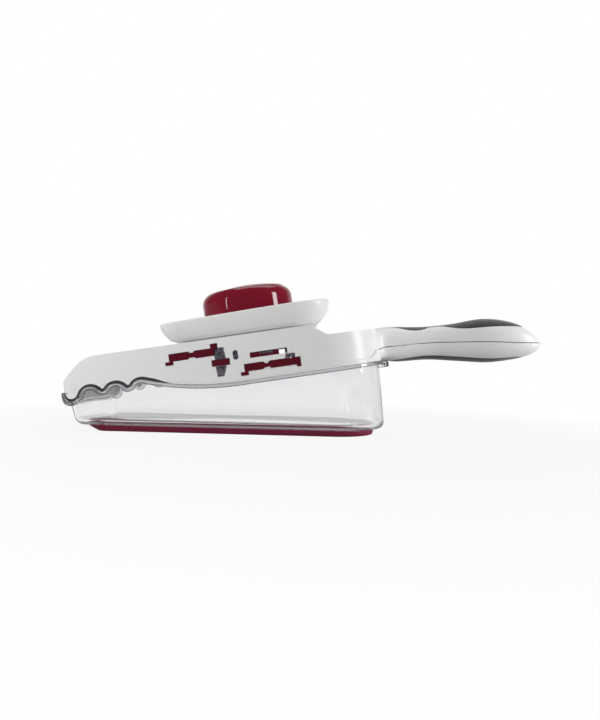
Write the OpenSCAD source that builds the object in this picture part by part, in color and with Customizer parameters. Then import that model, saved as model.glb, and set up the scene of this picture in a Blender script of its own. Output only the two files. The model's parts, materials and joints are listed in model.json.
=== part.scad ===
// Hand-held mandoline slicer resting on its clear catch container.
// The slicer is drawn in its own frame: X runs along the slicing plane towards the handle,
// Y across it, Z square to it, and Z = 0 is the top of the container's rim.
// on_table() draws level pieces and on_slope() stands the slicer on its container.

/* [Stance] */
// Slope of the slicing plane against the table
tilt = 10; // [8:0.5:12]
// Height of the container's rim over the middle of its base
rim_height = 39; // [37:0.5:42]
// Resting depth of the base ring, from its left end to the middle of the base
base_reach = 102.5; // [95:0.5:106]

/* [Slicer body] */
// Distance from the middle of the base to the nose
nose_reach = 125.8; // [121:0.2:130]
// Distance from the middle of the base to the rear wall
tail_reach = 108.5; // [104:0.5:114]
// Width over the side walls
body_width = 110; // [104:1:118]
// Height of the side rails over the container's rim
rail_z = 33; // [32:0.25:36]
// Height of the landing deck over the container's rim
deck_z = 29; // [28:0.25:30]
// Height of the rear deck over the container's rim
rear_z = 24.4; // [23.5:0.1:25]
// Thickness of the side walls
wall = 3; // [2.5:0.1:3.5]
// Thickness of the decks
deck_t = 2.5; // [2:0.1:3]
// Corner radius of the nose, seen from above
nose_corner = 9; // [6:0.5:14]
// Corner radius of the rear wall, seen from above
tail_corner = 45; // [36:1:48]
// Height of the raised band along the lower edge of the side walls
lip_h = 3.3; // [2.5:0.1:3.4]
// How far that band stands out from the walls
lip_out = 0.6; // [0.3:0.1:1]
// Half-round ridges on the landing deck
ridge_count = 9; // [3:1:11]
// Radius of one ridge
ridge_r = 1; // [0.6:0.1:1.2]

/* [Wavy edge] */
// Spacing of the scallops that hook over a bowl
scallop_pitch = 18; // [17:0.25:19]
// Rise of a scallop over the points between them
scallop_rise = 4.5; // [4:0.1:4.8]
// Height of the scallops' crests over the container's rim
scallop_top = 11.5; // [10.5:0.25:12]
// Distance from the nose to the lowest point of its hook
hook_in = 7.1; // [6.7:0.1:7.5]
// Height of the hook's lowest point over the container's rim
hook_z = 2.8; // [2:0.1:3.5]
// Distance from the hook's lowest point to the first crest
hook_run = 13.2; // [12.8:0.1:13.8]
// Thickness of the soft strip along the edge
strip_t = 2; // [1.7:0.1:2.4]
// How far the strip runs past the last crest
strip_run = 20; // [16:0.5:24]
// Length over which the strip thins out to nothing
strip_fade = 10; // [6:0.5:14]

/* [Container] */
// Thickness of the container's walls
glass_wall = 2.5; // [2:0.1:3]
// Thickness of the container's floor
glass_floor = 3; // [2.5:0.1:3.5]
// Gap between the container's wall and the body's outline, seen from above
glass_inset = 2.5; // [2.2:0.1:2.8]
// The same gap at the nose
glass_nose_inset = 3.1; // [2.8:0.1:4]
// The same gap at the tail
glass_tail_inset = 1; // [0.6:0.1:2.5]
// Draft of the container's walls
draft = 3.5; // [2:0.25:4.5]
// Radius round the container's lower edge
foot_round = 5.5; // [4:0.5:7]
// How far the rim stands out from the body
rim_out = 3; // [2:0.25:4]
// Thickness of the rim
rim_t = 2.8; // [2.2:0.1:3.2]
// Width of the thumb tab at the rear
tab_w = 30; // [20:1:36]
// Height of the tab's turned-down lip
tab_h = 6; // [5:0.5:8]

/* [Base ring] */
// Height of the ring
ring_h = 4.5; // [3.5:0.25:6]
// Width of the ring's resting face
ring_w = 9; // [7:0.5:12]
// Half width over the ring at the table
ring_half = 45; // [42:0.5:46]
// How far the ring's sides and its tail flare out over its height
ring_flare = 4.5; // [2:0.25:5]
// How far the ring flares out towards the nose
ring_sweep = 7.5; // [3:0.25:8]
// Height of the tongue that holds the ring under the container
tongue_h = 1.4; // [1:0.1:1.8]

/* [Inserts] */
// Gap round each insert in the side walls
slide_gap = 0.35; // [0.3:0.05:0.45]
// Height of the bar of a blade cartridge
bar_h = 5; // [4.5:0.1:5.3]
// Depth of the foot under a cartridge's bar
foot_h = 2.6; // [2:0.1:2.9]
// Rise of the cheek that guards the blade's end
cheek_h = 3.1; // [2.8:0.1:3.2]
// Length of a cartridge up to its cheek
cheek_x = 33; // [32:0.25:33.5]
// Distance from the middle of the base to the foot of the cartridge in use
cutter_x = -50.5; // [-51:0.25:-50]
// Distance from the middle of the base to the foot of the spare cartridge
spare_x = 1.4; // [1:0.1:3]
// Length of the spare cartridge
spare_len = 43.2; // [42:0.2:44]
// Height of the spare cartridge's foot over the container's rim
spare_z = 3.9; // [3.8:0.05:4]
// Slope of the blades against the slicing plane
blade_slope = 33; // [30:0.5:35]
// Thickness of the straight blade
blade_t = 0.9; // [0.7:0.1:1.1]
// Depth of the crinkle blade's waves
crinkle = 1.6; // [1:0.1:2]
// Length of one wave of the crinkle blade
crinkle_pitch = 6; // [5:0.5:8]

/* [Julienne comb] */
// Distance from the middle of the base to the comb's middle
comb_x = -11.8; // [-12:0.1:-11.7]
// Length of the comb's grip bar
hub_len = 12.4; // [11.6:0.2:12.4]
// Height of the comb's grip bar
hub_h = 4.2; // [3.6:0.1:4.4]
// Height of the comb's middle over the container's rim
hub_z = 15.4; // [15:0.1:15.6]
// Length of a tooth over the bar
tooth_h = 8.2; // [7:0.1:8.3]
// Width of a tooth at the bar
tooth_w = 7.6; // [6.8:0.1:8]
// Thickness of a tooth
tooth_t = 0.8; // [0.6:0.1:1]
// Spacing of the coarse teeth
coarse_pitch = 9; // [7:0.5:12]
// Spacing of the fine teeth
fine_pitch = 4.5; // [3.5:0.25:6]

/* [Grater] */
// Distance from the middle of the base to the grater's slot
grater_x = 9.3; // [9:0.1:10]
// Length of the slot
grater_slot = 27; // [24:0.5:28]
// Length of the grater itself
grater_len = 20.6; // [18:0.2:22]
// Height of the slot's floor over the container's rim
grater_z = 15.5; // [15.4:0.05:15.7]
// Height of the grater's near grip
grater_grip_h = 3.2; // [2.6:0.1:3.4]
// Thickness of the grater's frame
grater_t = 1.4; // [1.2:0.1:1.5]
// Radius of the grater's holes
rasp_r = 1.4; // [1:0.1:1.6]

/* [Infeed ramp] */
// Slice thickness that the ramp is set to
slice = 3.6; // [3.3:0.05:3.7]
// Distance from the middle of the base to the ramp's hinge
hinge_x = 58; // [55:0.5:60]
// Height of the hinge over the container's rim
hinge_z = 21; // [20.5:0.25:21.5]
// Radius of the hinge pin
hinge_r = 2; // [1.5:0.1:2.2]
// Radial gap between a pin and its hole
pin_fit = 0.05; // [0.03:0.01:0.1]
// Thickness of the ramp's sheet
sheet = 1.2; // [0.8:0.1:1.4]
// Distance from the middle of the base to the guide pins
guide_x = -0.8; // [-1:0.1:0]
// Radius of the guide pins
guide_r = 1.6; // [1.3:0.1:1.7]
// Height of the guide slots' lower end over the container's rim
guide_slot_z = 16; // [15.8:0.1:16.2]
// Thinnest slice the ramp can be raised to
thinnest = 0.3; // [0.2:0.05:0.6]

/* [Food guard] */
// Distance from the middle of the base to the guard's middle
guard_x = 11.3; // [5:0.5:14]
// Length of the guard's floor on the nose side of its middle
tray_nose = 53.7; // [50:0.5:56]
// Length of the guard's floor on the handle side of its middle
tray_tail = 49.7; // [46:0.5:54]
// Height of the guard's rim at its nose end
tray_h_nose = 15; // [11:0.5:16]
// Height of the guard's rim at its handle end
tray_h_tail = 17.5; // [14:0.5:20]
// Flare of the guard's walls towards the nose
tray_flare_nose = 9.6; // [5:0.2:11]
// Flare of the guard's walls towards the handle
tray_flare_tail = 11.8; // [9:0.2:13]
// Flare of the guard's sides
tray_flare_side = 5; // [3:0.25:6]
// Thickness of the guard's walls
tray_t = 2.3; // [1.8:0.1:2.8]
// Gap under the guard, over the rails
ride_gap = 0.4; // [0.3:0.05:0.6]
// Depth of the runners between the rails
runner_h = 2.6; // [2:0.1:2.7]
// Bore radius of the food well
well_r = 30.5; // [28:0.25:31]
// Height of the food well over the guard's floor
well_h = 32.3; // [30:0.25:33]

/* [Knob and pusher] */
// Radius of the knob
knob_r = 35.9; // [35.9:0.1:38]
// Height of the knob
knob_h = 32; // [31.5:0.25:34]
// Radius round the knob's shoulder
shoulder_r = 9; // [7:0.25:10]
// Rise of the palm cap over the knob's shoulder
cap_rise = 4.7; // [3.5:0.1:6]
// Lean of the palm cap towards the handle
cap_lean = 2; // [0:0.25:2.5]
// Gap between the knob, the pusher and the food well
well_gap = 0.4; // [0.3:0.05:0.5]
// Thickness of the knob's wall
knob_t = 2.6; // [2:0.1:2.6]
// Thickness of the pusher plate
pusher_t = 4; // [3:0.25:5]
// Radius of the pusher's stem
stem_r = 9; // [7:0.5:11]
// Radius of a spike
spike_r = 0.9; // [0.7:0.1:1.2]

/* [Handle] */
// Length of the handle from the rear wall to its tip
handle_len = 135.7; // [125:0.5:145]
// Half width of the handle at the palm
palm_half = 18.5; // [16:0.25:20]
// Depth of the small thumb pad in the top grip
thumb_pad = 2.6; // [1.5:0.1:3]
// Depth of the large palm pad in the top grip
palm_pad = 6.5; // [4:0.25:7]
// Depth of the bottom grip
finger_pad = 3.1; // [2:0.1:3.5]
// Radius of the handle's screws
screw_r = 1.6; // [1.3:0.1:2]

/* [Hidden] */

half = body_width / 2;                  // half width over the side walls
inner = half - wall;                    // half width between them
reach = 200;                            // longer than anything it cuts
far = 400;

white = "white";
burgundy = [0.42, 0.07, 0.16];
clear = [0.85, 0.92, 0.95, 0.35];
steel = [0.75, 0.76, 0.78];
soft_black = [0.16, 0.16, 0.17];

// ---------- curves ----------

function reversed(p) = [for (i = [len(p) - 1:-1:0]) p[i]];

// Two arcs that join level point p to level point q and meet with one slope;
// the first has radius r, and the second takes what is left.
function swing(p, q, r, n = 6) =
    let (dx = q.x - p.x, dz = q.y - p.y, a = 2 * atan(abs(dz) / abs(dx)),
        r2 = abs(dx) / sin(a) - r, sx = sign(dx), sz = sign(dz))
    concat(
        [for (i = [0:n - 1]) [p.x + sx * r * sin(a * i / n), p.y + sz * r * (1 - cos(a * i / n))]],
        [for (i = [n:-1:1]) [q.x - sx * r2 * sin(a * i / n), q.y - sz * r2 * (1 - cos(a * i / n))]]);

// Arc round c from angle a to angle b
function arc(c, r, a, b, n) = [for (i = [0:n]) c + r * [cos(a + (b - a) * i / n), sin(a + (b - a) * i / n)]];

// A line of points moved square to itself, upwards for a positive distance
function shifted(p, d) = [for (i = [0:len(p) - 1])
    let (a = p[max(i - 1, 0)], b = p[min(i + 1, len(p) - 1)], t = (b - a) / norm(b - a))
    p[i] + [-t.y, t.x] * (is_list(d) ? d[i] : d)];

// Smooth line through rows of values: Catmull-Rom between rows i and i + 1
function between(rows, i, t) =
    let (a = rows[max(i - 1, 0)], b = rows[i], c = rows[i + 1], d = rows[min(i + 2, len(rows) - 1)])
    0.5 * (2 * b + (c - a) * t + (2 * a - 5 * b + 4 * c - d) * t * t + (3 * b - a - 3 * c + d) * t * t * t);
function smooth(rows, n) = concat(
    [for (i = [0:len(rows) - 2]) for (k = [0:n - 1]) between(rows, i, k / n)], [rows[len(rows) - 1]]);

// ---------- outlines seen from above ----------

// Rounded outline that is blunt at the nose and round at the tail, grown by g
module plan(nose, tail, side, rn, rt, g = 0) {
    n = nose - g;
    t = tail + g;
    s = side + g;
    a = max(rn + g, 0.4);
    b = max(rt + g, 0.4);
    translate([n + a, -s]) square([t - b - n - a, 2 * s]);
    translate([n, -s + a]) square([a + 1, 2 * (s - a)]);
    translate([t - b - 1, -s + b]) square([b + 1, 2 * (s - b)]);
    for (m = [-1, 1]) {
        translate([n + a, m * (s - a)]) circle(a, $fn = 48);
        translate([t - b, m * (s - b)]) circle(b, $fn = 96);
    }
}
module body_plan(g = 0) plan(-nose_reach, tail_reach, half, nose_corner, tail_corner, g);

// The same outline as points with their outward directions: [[x, y], [nx, ny]]
function ring_of(nose, tail, side, rn, rt) = concat(
    [for (a = [-90:9:0]) corner([tail - rt, -side + rt], rt, a)],
    [for (a = [0:9:90]) corner([tail - rt, side - rt], rt, a)],
    [for (a = [90:18:180]) corner([nose + rn, side - rn], rn, a)],
    [for (a = [180:18:270]) corner([nose + rn, -side + rn], rn, a)]);
function corner(c, r, a) = [c + r * [cos(a), sin(a)], [cos(a), sin(a)]];

// Closed skin over a stack of rings that have the same number of points
module skin(rings) {
    n = len(rings[0]);
    m = len(rings);
    polyhedron(
        points = [for (r = rings) each r],
        faces = concat(
            [[for (i = [0:n - 1]) i]],
            [for (k = [0:m - 2]) for (i = [0:n - 1]) let (j = (i + 1) % n)
                each [[k * n + i, (k + 1) * n + j, k * n + j], [k * n + i, (k + 1) * n + i, (k + 1) * n + j]]],
            [[for (i = [n - 1:-1:0]) (m - 1) * n + i]]));
}

// ---------- frames ----------

module on_table() translate([-middle, 0, 0]) children();
module on_slope() translate([-middle, 0, rim_height]) rotate([0, -tilt, 0]) children();

// Extrudes a side view, drawn as [x, z], across the slicer from y = a to y = b
module across(a, b) translate([0, b, 0]) rotate([90, 0, 0]) linear_extrude(b - a) children();

// ---------- the edge where slicer and container meet ----------

crest_1 = -nose_reach + hook_in + hook_run;
crest_3 = crest_1 + 2 * scallop_pitch;
low = scallop_top - scallop_rise;
scallop_r = 8.25;                       // radius of a scallop's crest
point_r = 3;                            // radius of the points between the scallops
hook_r = 6.6;                           // radius of the hook
hook_rise = 7.2;                        // height of the hook's outer end over its lowest point
hook_x = -nose_reach + hook_in;
hook_top = hook_z + hook_rise;

// From the nose to the tail, so that "up" is to the left of the walk
wave = concat(
    [[hook_x - hook_r, hook_top]],
    arc([hook_x, hook_z + hook_r], hook_r, 180, 260, 8),
    swing([hook_x, hook_z], [crest_1, scallop_top], hook_r),
    [for (k = [0:1]) let (x = crest_1 + k * scallop_pitch, d = scallop_pitch / 2) each concat(
        swing([x, scallop_top], [x + d, low], scallop_r),
        swing([x + d, low], [x + 2 * d, scallop_top], point_r))],
    reversed(swing([0, 0], [crest_3, scallop_top],
        abs(crest_3) / sin(2 * atan(scallop_top / abs(crest_3))) - scallop_r, 10)));
fade_x = crest_3 + strip_run;
strip_line = shifted(wave, [for (p = wave) strip_t * min(1, max(0, (fade_x - p.x) / strip_fade))]);

// The raised band is lower along the scallops, where it has to turn round their points
lip_low = min(lip_h, point_r - 0.2);
function lip_at(x) = lip_low + (lip_h - lip_low) * min(1, max(0, 1 + (x - fade_x) / strip_fade));
lip_line = shifted(wave, [for (p = wave) lip_at(p.x)]);

// Side view of everything over or under a line that runs from nose to tail
module side_of(line, end) polygon(concat([[-reach, end], [-reach, line[0].y]], line,
    [[far, line[len(line) - 1].y], [far, end]]));
module over(line) side_of(line, far);
module under(line) side_of(line, -far);

// ---------- the slicer body ----------

nose_r = 5;                             // radius of the nose, seen from the side
nose_slope = 41;                        // slope of the nose's upper face
brow_r = 21;                            // radius where that face meets the rails
brow_in = 27;                           // distance from the nose to that radius' upper end
brow_x = -nose_reach + brow_in;
nose_line_x = brow_x - brow_r * sin(nose_slope);
nose_line_z = rail_z - brow_r * (1 - cos(nose_slope));
nose_z = nose_line_z - (nose_line_x + nose_reach - nose_r * (1 - sin(nose_slope))) * tan(nose_slope)
    - nose_r * cos(nose_slope);
rail_end = 46;                          // where the rails start to fall towards the rear wall
rail_run = 23;                          // length of that fall
fall_r = 27;                            // radius at the top of that fall
top_line = concat(
    arc([-nose_reach + nose_r, nose_z], nose_r, 180, 90 + nose_slope, 4),
    arc([brow_x, rail_z - brow_r], brow_r, 90 + nose_slope, 90, 6),
    swing([rail_end, rail_z], [rail_end + rail_run, rear_z], fall_r),
    [[rail_end + rail_run, rear_z]]);
deck_end = cutter_x + cheek_x - slide_gap;  // edge of the landing deck in front of the blade
ramp_tail = 3.5;                        // length of the ramp behind its hinge
ramp_rear = hinge_x + ramp_tail + 2;    // edge of the rear deck behind the ramp

// A slab that follows the nose and is level at height z, with its top down by d
module deck_view(z, d) difference() {
    translate([-reach, -far]) square([2 * reach, far + z - d]);
    over(shifted(top_line, -d));
}
module deck(x0, x1, z) intersection() {
    translate([0, 0, -1]) linear_extrude(far) body_plan(-wall / 2);
    difference() {
        across(-reach, reach) deck_view(z, 0);
        across(-far, far) deck_view(z, deck_t);
        translate([-far, -far, -1]) cube([far + x0, 2 * far, far]);
        translate([x1, -far, -1]) cube([far, 2 * far, far]);
    }
}

module walls() difference() {
    linear_extrude(rail_z + 1) difference() {
        body_plan();
        body_plan(-wall);
    }
    across(-reach, reach) over(top_line);
}
module lip() intersection() {
    translate([0, 0, -0.01]) linear_extrude(rail_z) difference() {
        body_plan(lip_out);
        body_plan(-wall / 2);
    }
    across(-reach, reach) under(lip_line);
}
// Runs inside the container's wall and keeps the slicer from sliding on the rim
rib_x = [6, 56];                        // ends of the rib
rib_gap = 0.4;                          // gap between the rib and the container's wall
rib_t = 2;                              // thickness of the rib
rib_up = 2.4;                           // height of its root over the rim
rib_down = 0.9;                         // depth of the rib under the rim
module locating_rib() for (m = [0, 1]) mirror([0, m, 0]) {
    y = half - glass_inset - glass_wall - rib_gap;
    translate([rib_x[0], y - rib_t, -rib_down]) cube([rib_x[1] - rib_x[0], rib_t, rib_down + rib_up]);
    translate([rib_x[0], y - rib_t, 0]) cube([rib_x[1] - rib_x[0], inner - y + rib_t + 1, rib_up]);
}

module slicer_body() color(white) on_slope() difference() {
    union() {
        difference() {
            union() {
                walls();
                lip();
                deck(-reach, deck_end, deck_z);
                deck(ramp_rear, reach, rear_z);
                deck_ridges();
            }
            across(-reach, reach) under(strip_line);
        }
        locating_rib();
        handle_upper_shell();
    }
    across(-reach, reach) {
        translate([cutter_x, cutter_z]) cartridge_view(cutter_len, slide_gap);
        translate([spare_x, spare_z]) cartridge_view(spare_len, slide_gap, tail = true);
        comb_view(slide_gap);
        grater_slot_view();
        guide_slot_view();
    }
    across(0, reach) push_view();
    translate([hinge_x, 0, hinge_z]) rotate([90, 0, 0])
        cylinder(r = hinge_r, h = 2 * hinge_reach, center = true, $fn = 48);
    screw_holes(screw_r);
}
module handle_upper_shell() difference() {
    skin([for (r = spine) upper_ring(r)]);
    translate([0, 0, -far + rear_z - deck_t]) linear_extrude(far) body_plan(-wall);
    across(-reach, reach) grip_view(1);
}
ridge_margin = 6;                       // plain strip of deck at each side of the ridges
ridge_back = 1.5;                       // plain strip between the ridges and the deck's edge
module deck_ridges() intersection() {
    for (i = [0:ridge_count - 1])
        translate([-reach, (i - (ridge_count - 1) / 2) * 2 * (inner - ridge_margin) / ridge_count,
                   deck_z - ridge_r / 2]) rotate([0, 90, 0])
            cylinder(r = ridge_r, h = reach + deck_end - ridge_back, $fn = 24);
    across(-reach, reach) difference() {
        translate([brow_x - ridge_margin, 0]) square([reach, far]);
        over(shifted(top_line, -deck_t / 2));
    }
}

module edge_grip() color(soft_black) on_slope() intersection() {
    linear_extrude(rail_z) difference() {
        body_plan(lip_out);
        body_plan(-wall);
    }
    across(-reach, reach) difference() {
        translate([-reach, 0]) square([reach + fade_x - 1, hook_top + scallop_top]);
        over(strip_line);
        under(wave);
    }
}

// ---------- handle ----------

function at(f) = tail_reach + f * handle_len;
tip = [at(1), -6];

// The origin lies halfway between the rim's nose and the handle's tip
far_nose = -(nose_reach + rim_out) * cos(tilt) - hook_top * sin(tilt);
far_tip = tip.x * cos(tilt) - tip.y * sin(tilt);
middle = (far_nose + far_tip) / 2;

// Sections of the handle: place, half width, top, parting plane, bottom, squareness
sections = [
    [tail_reach - 9, 35, rear_z, 0.6, 0.4, 5],
    [tail_reach - 5, 28, rear_z + 0.1, 3.4, 0.6, 4.4],
    [tail_reach, 22.5, rear_z + 0.8, 8.4, 0.6, 3.6],
    [at(0.04), 19.2, rear_z + 1.4, 9.5, -0.6, 3],
    [at(0.12), 16.8, 25.1, 8.9, -3.4, 2.6],
    [at(0.3), 14.4, 21.7, 7.9, -5.3, 2.3],
    [at(0.47), 16.2, 20.7, 5.2, -9.7, 2.2],
    [at(0.65), palm_half, 21.4, 2, -14.5, 2.2],
    [at(0.78), palm_half - 0.9, 18.0, -1.2, -15.3, 2.2],
    [at(0.885), palm_half - 4.3, 11.6, -3.4, -14.4, 2.2],
    [at(0.958), palm_half - 9.5, 2.2, -4.6, -11.5, 2.2],
    [tip.x, 1.5, tip.y + 0.9, tip.y, tip.y - 0.9, 2]];
spine = smooth(sections, 4);
ring_n = 20;

function bulge(a, n) = pow(abs(a), 2 / n) * sign(a);
function upper_ring(r) = [for (i = [0:ring_n]) let (a = 180 * i / ring_n)
    [r[0], r[1] * bulge(cos(a), r[5]), r[3] + (r[2] - r[3]) * bulge(sin(a), r[5])]];
function lower_ring(r) = [for (i = [ring_n:-1:0]) let (a = 180 * i / ring_n)
    [r[0], r[1] * bulge(cos(a), r[5]), r[3] - (r[3] - r[4]) * bulge(sin(a), r[5])]];

// Where the pads are deepest and half their length, as shares of the handle's length
thumb_at = [0.23, 0.1];
palm_at = [0.655, 0.25];
finger_at = [0.47, 0.42];
grip_edge = 0.8;                        // depth of the top grip between its pads

// Depth of a pad of depth d that is deepest at c[0] and runs out to both sides
function pad(x, c, d) = let (t = (x - at(c[0])) / (c[1] * handle_len)) abs(t) < 1 ? d * (1 - t * t) : 0;
function top_depth(x) = grip_edge + max(pad(x, thumb_at, thumb_pad), pad(x, palm_at, palm_pad));
function low_depth(x) = finger_pad * (1 - pow((x - at(finger_at[0])) / (finger_at[1] * handle_len), 4));

// Side view of the soft pads, over the handle (side = 1) or under it (side = -1)
module grip_view(side) {
    span = side > 0 ? [at(0.09), at(0.9)] : [at(0.07), at(0.87)];
    rows = [for (r = spine) if (r[0] > span[0] && r[0] < span[1]) r];
    edge = [for (r = rows) [r[0], side > 0 ? r[2] - top_depth(r[0]) : r[4] + low_depth(r[0])]];
    out = far * side / 10;
    polygon(concat([[span[0], out], [span[0], edge[0].y + side * grip_edge]], edge,
        [[span[1], edge[len(edge) - 1].y + side * grip_edge], [span[1], out]]));
}

screw_seats = [[at(0.18), 3], [at(0.63), -3.2]];     // where the screws' heads seat: place, height
screw_len = 14;
screw_gap = 0.2;                        // gap round a screw where it passes through
head_r = 2 * screw_r;
head_t = 2;
head_gap = 0.3;                         // gap round and under a screw's head
module screw_holes(r) for (p = screw_seats)
    translate([p.x, 0, p.y - head_t - 1]) cylinder(r = r, h = screw_len + head_t + 1.01, $fn = 32);

module handle_lower_shell() color(white) on_slope() difference() {
    skin([for (r = spine) lower_ring(r)]);
    translate([0, 0, -far / 2]) linear_extrude(far) body_plan();
    translate([0, 0, -far]) linear_extrude(far + lip_h) body_plan(lip_out);
    across(-reach, reach) grip_view(-1);
    screw_holes(screw_r + screw_gap);
    for (p = screw_seats) translate([p.x, 0, p.y - head_t - head_gap])
        cylinder(r = head_r + head_gap, h = head_t + head_gap, $fn = 32);
}
module handle_top_grip() color(soft_black) on_slope() intersection() {
    skin([for (r = spine) upper_ring(r)]);
    across(-reach, reach) grip_view(1);
}
module handle_bottom_grip() color(soft_black) on_slope() intersection() {
    skin([for (r = spine) lower_ring(r)]);
    across(-reach, reach) grip_view(-1);
}
module handle_screws() color(steel) on_slope() for (p = screw_seats) translate([p.x, 0, p.y]) {
    cylinder(r = screw_r, h = screw_len, $fn = 32);
    translate([0, 0, -head_t]) cylinder(r = head_r, h = head_t, $fn = 32);
}

// ---------- container and its base ----------

glass_nose = -nose_reach + glass_nose_inset;
glass_tail = tail_reach - glass_tail_inset;
glass_half = half - glass_inset;
glass_nose_corner = max(nose_corner, foot_round + 1);
glass_tail_corner = tail_corner - glass_inset;
slope_in = tan(draft);

// Point of the container's skin at height h over the table, moved in by g
function at_level(c, h, g) =
    let (p = c[0] - g * c[1],
         k = (h - rim_height - p.x * sin(tilt)) / (cos(tilt) + slope_in * c[1].x * sin(tilt)))
    [p.x + slope_in * k * c[1].x, p.y + slope_in * k * c[1].y, k];
function over_rim(c, z, g) = let (p = c[0] - g * c[1] + slope_in * z * c[1]) [p.x, p.y, z];
glass_ring = ring_of(glass_nose, glass_tail, glass_half, glass_nose_corner, glass_tail_corner);

// Tub that stands at height h, moved in by g all round, with radius r round its lower edge
module tub(h, g, r) skin(concat(
    [for (a = [90:-22.5:0]) [for (c = glass_ring) at_level(c, h + r * (1 - sin(a)), g + r * (1 - cos(a)))]],
    [[for (c = glass_ring) over_rim(c, scallop_top + 6, g)]]));

module glass_plan(g) plan(glass_nose, glass_tail, glass_half, glass_nose_corner, glass_tail_corner, g);

module container() color(clear) difference() {
    on_slope() union() {
        difference() {
            tub(ring_h, 0, foot_round);
            tub(ring_h + glass_floor, glass_wall, foot_round - glass_wall);
            across(-reach, reach) over(wave);
        }
        intersection() {
            translate([0, 0, -2 * rim_t]) linear_extrude(far) difference() {
                body_plan(rim_out);
                glass_plan(-glass_wall / 2);
            }
            across(-reach, reach) difference() {
                over(shifted(wave, -rim_t));
                over(wave);
            }
        }
        thumb_tab();
    }
    on_table() translate([0, 0, ring_h - 1]) linear_extrude(tongue_h + 1.2) tongue_plan(0.1);
}
// Turned-down tab that is held while the slicer is lifted off
tab_reach = tail_reach + 7.8;
tab_root = tail_reach - 14;             // where the tab starts, inside the container's wall
tab_corner = 8;
tab_round = 3;                          // radius of the tab's upper edge
module thumb_tab() difference() {
    intersection() {
        translate([0, 0, -rim_t - tab_h]) linear_extrude(tab_h + rim_t)
            plan(0, tab_reach, tab_w / 2, 1, tab_corner);
        across(-reach, reach) hull() {
            translate([tab_reach - tab_round - 0.5, -rim_t - tab_round - 0.5]) circle(tab_round, $fn = 32);
            translate([tab_root, -rim_t - 0.5]) square([1, 0.5]);
            translate([tab_root, -rim_t - tab_h]) square([tab_reach - tab_root - 1, 1]);
        }
    }
    translate([0, 0, -rim_t - glass_wall - far]) linear_extrude(far) intersection() {
        plan(0, tab_reach - glass_wall, tab_w / 2 - glass_wall, 1, tab_corner - 2);
        translate([0, -reach]) square([reach, far]);
    }
    tub(ring_h + glass_floor, glass_wall, foot_round - glass_wall);
}

base_outline = ring_of(-base_reach, base_reach, ring_half, nose_corner - 4, tail_corner - 11);
module ring_skin() skin([
    [for (c = base_outline) [c[0].x, c[0].y, 0]],
    [for (c = base_outline)
        let (f = max(-ring_sweep * c[1].x, ring_flare * c[1].x) + 0.5 * ring_flare * abs(c[1].y))
        [c[0].x + f * c[1].x, c[0].y + f * c[1].y, ring_h]]]);
module base_plan(g) plan(-base_reach, base_reach, ring_half, nose_corner - 4, tail_corner - 11, g);
module tongue_plan(g) difference() {
    base_plan(-ring_w / 3 + g);
    base_plan(-2 * ring_w / 3 - g);
}
module base_ring() color(burgundy) on_table() difference() {
    union() {
        ring_skin();
        translate([0, 0, ring_h - 0.5]) linear_extrude(tongue_h + 0.5) tongue_plan(0);
    }
    translate([0, 0, -1]) linear_extrude(far) base_plan(-ring_w);
}

// ---------- inserts that slide in from the side ----------

cheek_len = 4.6;                        // length of the cheek on the cartridge in use
spare_cheek = 6.6;                      // length of the cheek on the spare cartridge
cutter_len = cheek_x + 2;
cutter_z = deck_z - deck_t - slide_gap - 0.1 - foot_h - bar_h;
bar_x = 3;                              // how far the foot stands out before the bar
foot_len = 5.2;                         // length of the foot
notch = [16, 22];                       // ends of the notches over and under the bar
notch_h = [0.9, 1.2];                   // depth of the lower and the upper notch
tail_len = 3;                           // length of the spare cartridge's second foot
tail_z = 1;                             // height of its underside
insert_half = half - 0.4;

// End view of a blade cartridge, grown by g: a bar on a foot, notched above and below,
// with a cheek that guards the blade. A spare one has a tail with a second foot.
module cartridge_view(len, g = 0, tail = false, cheek = true) {
    top = foot_h + bar_h;
    cheek_end = cheek_x + (tail ? spare_cheek : cheek_len);
    polygon(concat(
        [[-g, -g], [foot_len + g, -g], [foot_len + g, foot_h - g], [notch[0] + g, foot_h - g],
         [notch[0] + 1 + g, foot_h + notch_h[0] - g], [notch[1] - 1 - g, foot_h + notch_h[0] - g],
         [notch[1] - g, foot_h - g]],
        !tail ? [[len + g, foot_h - g]] :
            [[len - tail_len - g, foot_h - g], [len - tail_len + 0.4 - g, tail_z - g], [len + g, tail_z - g]],
        !cheek ? [[len + g, top + g]] :
        cheek_end > len ? [[len + g, top - g], [cheek_end + g, top - g]] :
                          [[len + g, top + g], [cheek_end + g, top + g]],
        !cheek ? [] :
            [[cheek_end + g, top + cheek_h + g], [cheek_x - g, top + cheek_h + g], [cheek_x - g, top + g]],
        [[notch[1] - 0.5 - g, top + g], [notch[1] - 1.5 - g, top - notch_h[1] + g],
         [notch[0] + 1.5 + g, top - notch_h[1] + g], [notch[0] + 0.5 + g, top + g],
         [bar_x - g, top + g], [bar_x - g, foot_h - 0.5 + g], [-g, foot_h - 0.5 + g]]));
}

// Blade in a cartridge: its edge comes level with the cheek's top
blade_half = inner - 0.2;               // half width of a blade
blade_len = 8;
bevel_len = 2.6;                        // length of the ground bevel on the straight blade
edge_x = cheek_x + cheek_len - 0.3;     // place of the straight blade's edge
spare_edge_x = cheek_x + 3;             // place of the crinkle blade's edge
module blade_place(x) translate([x, foot_h + bar_h + cheek_h]) rotate(blade_slope) children();
module blade_slot(t) translate([-blade_len, -t]) square([blade_len + 4, t]);

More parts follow.
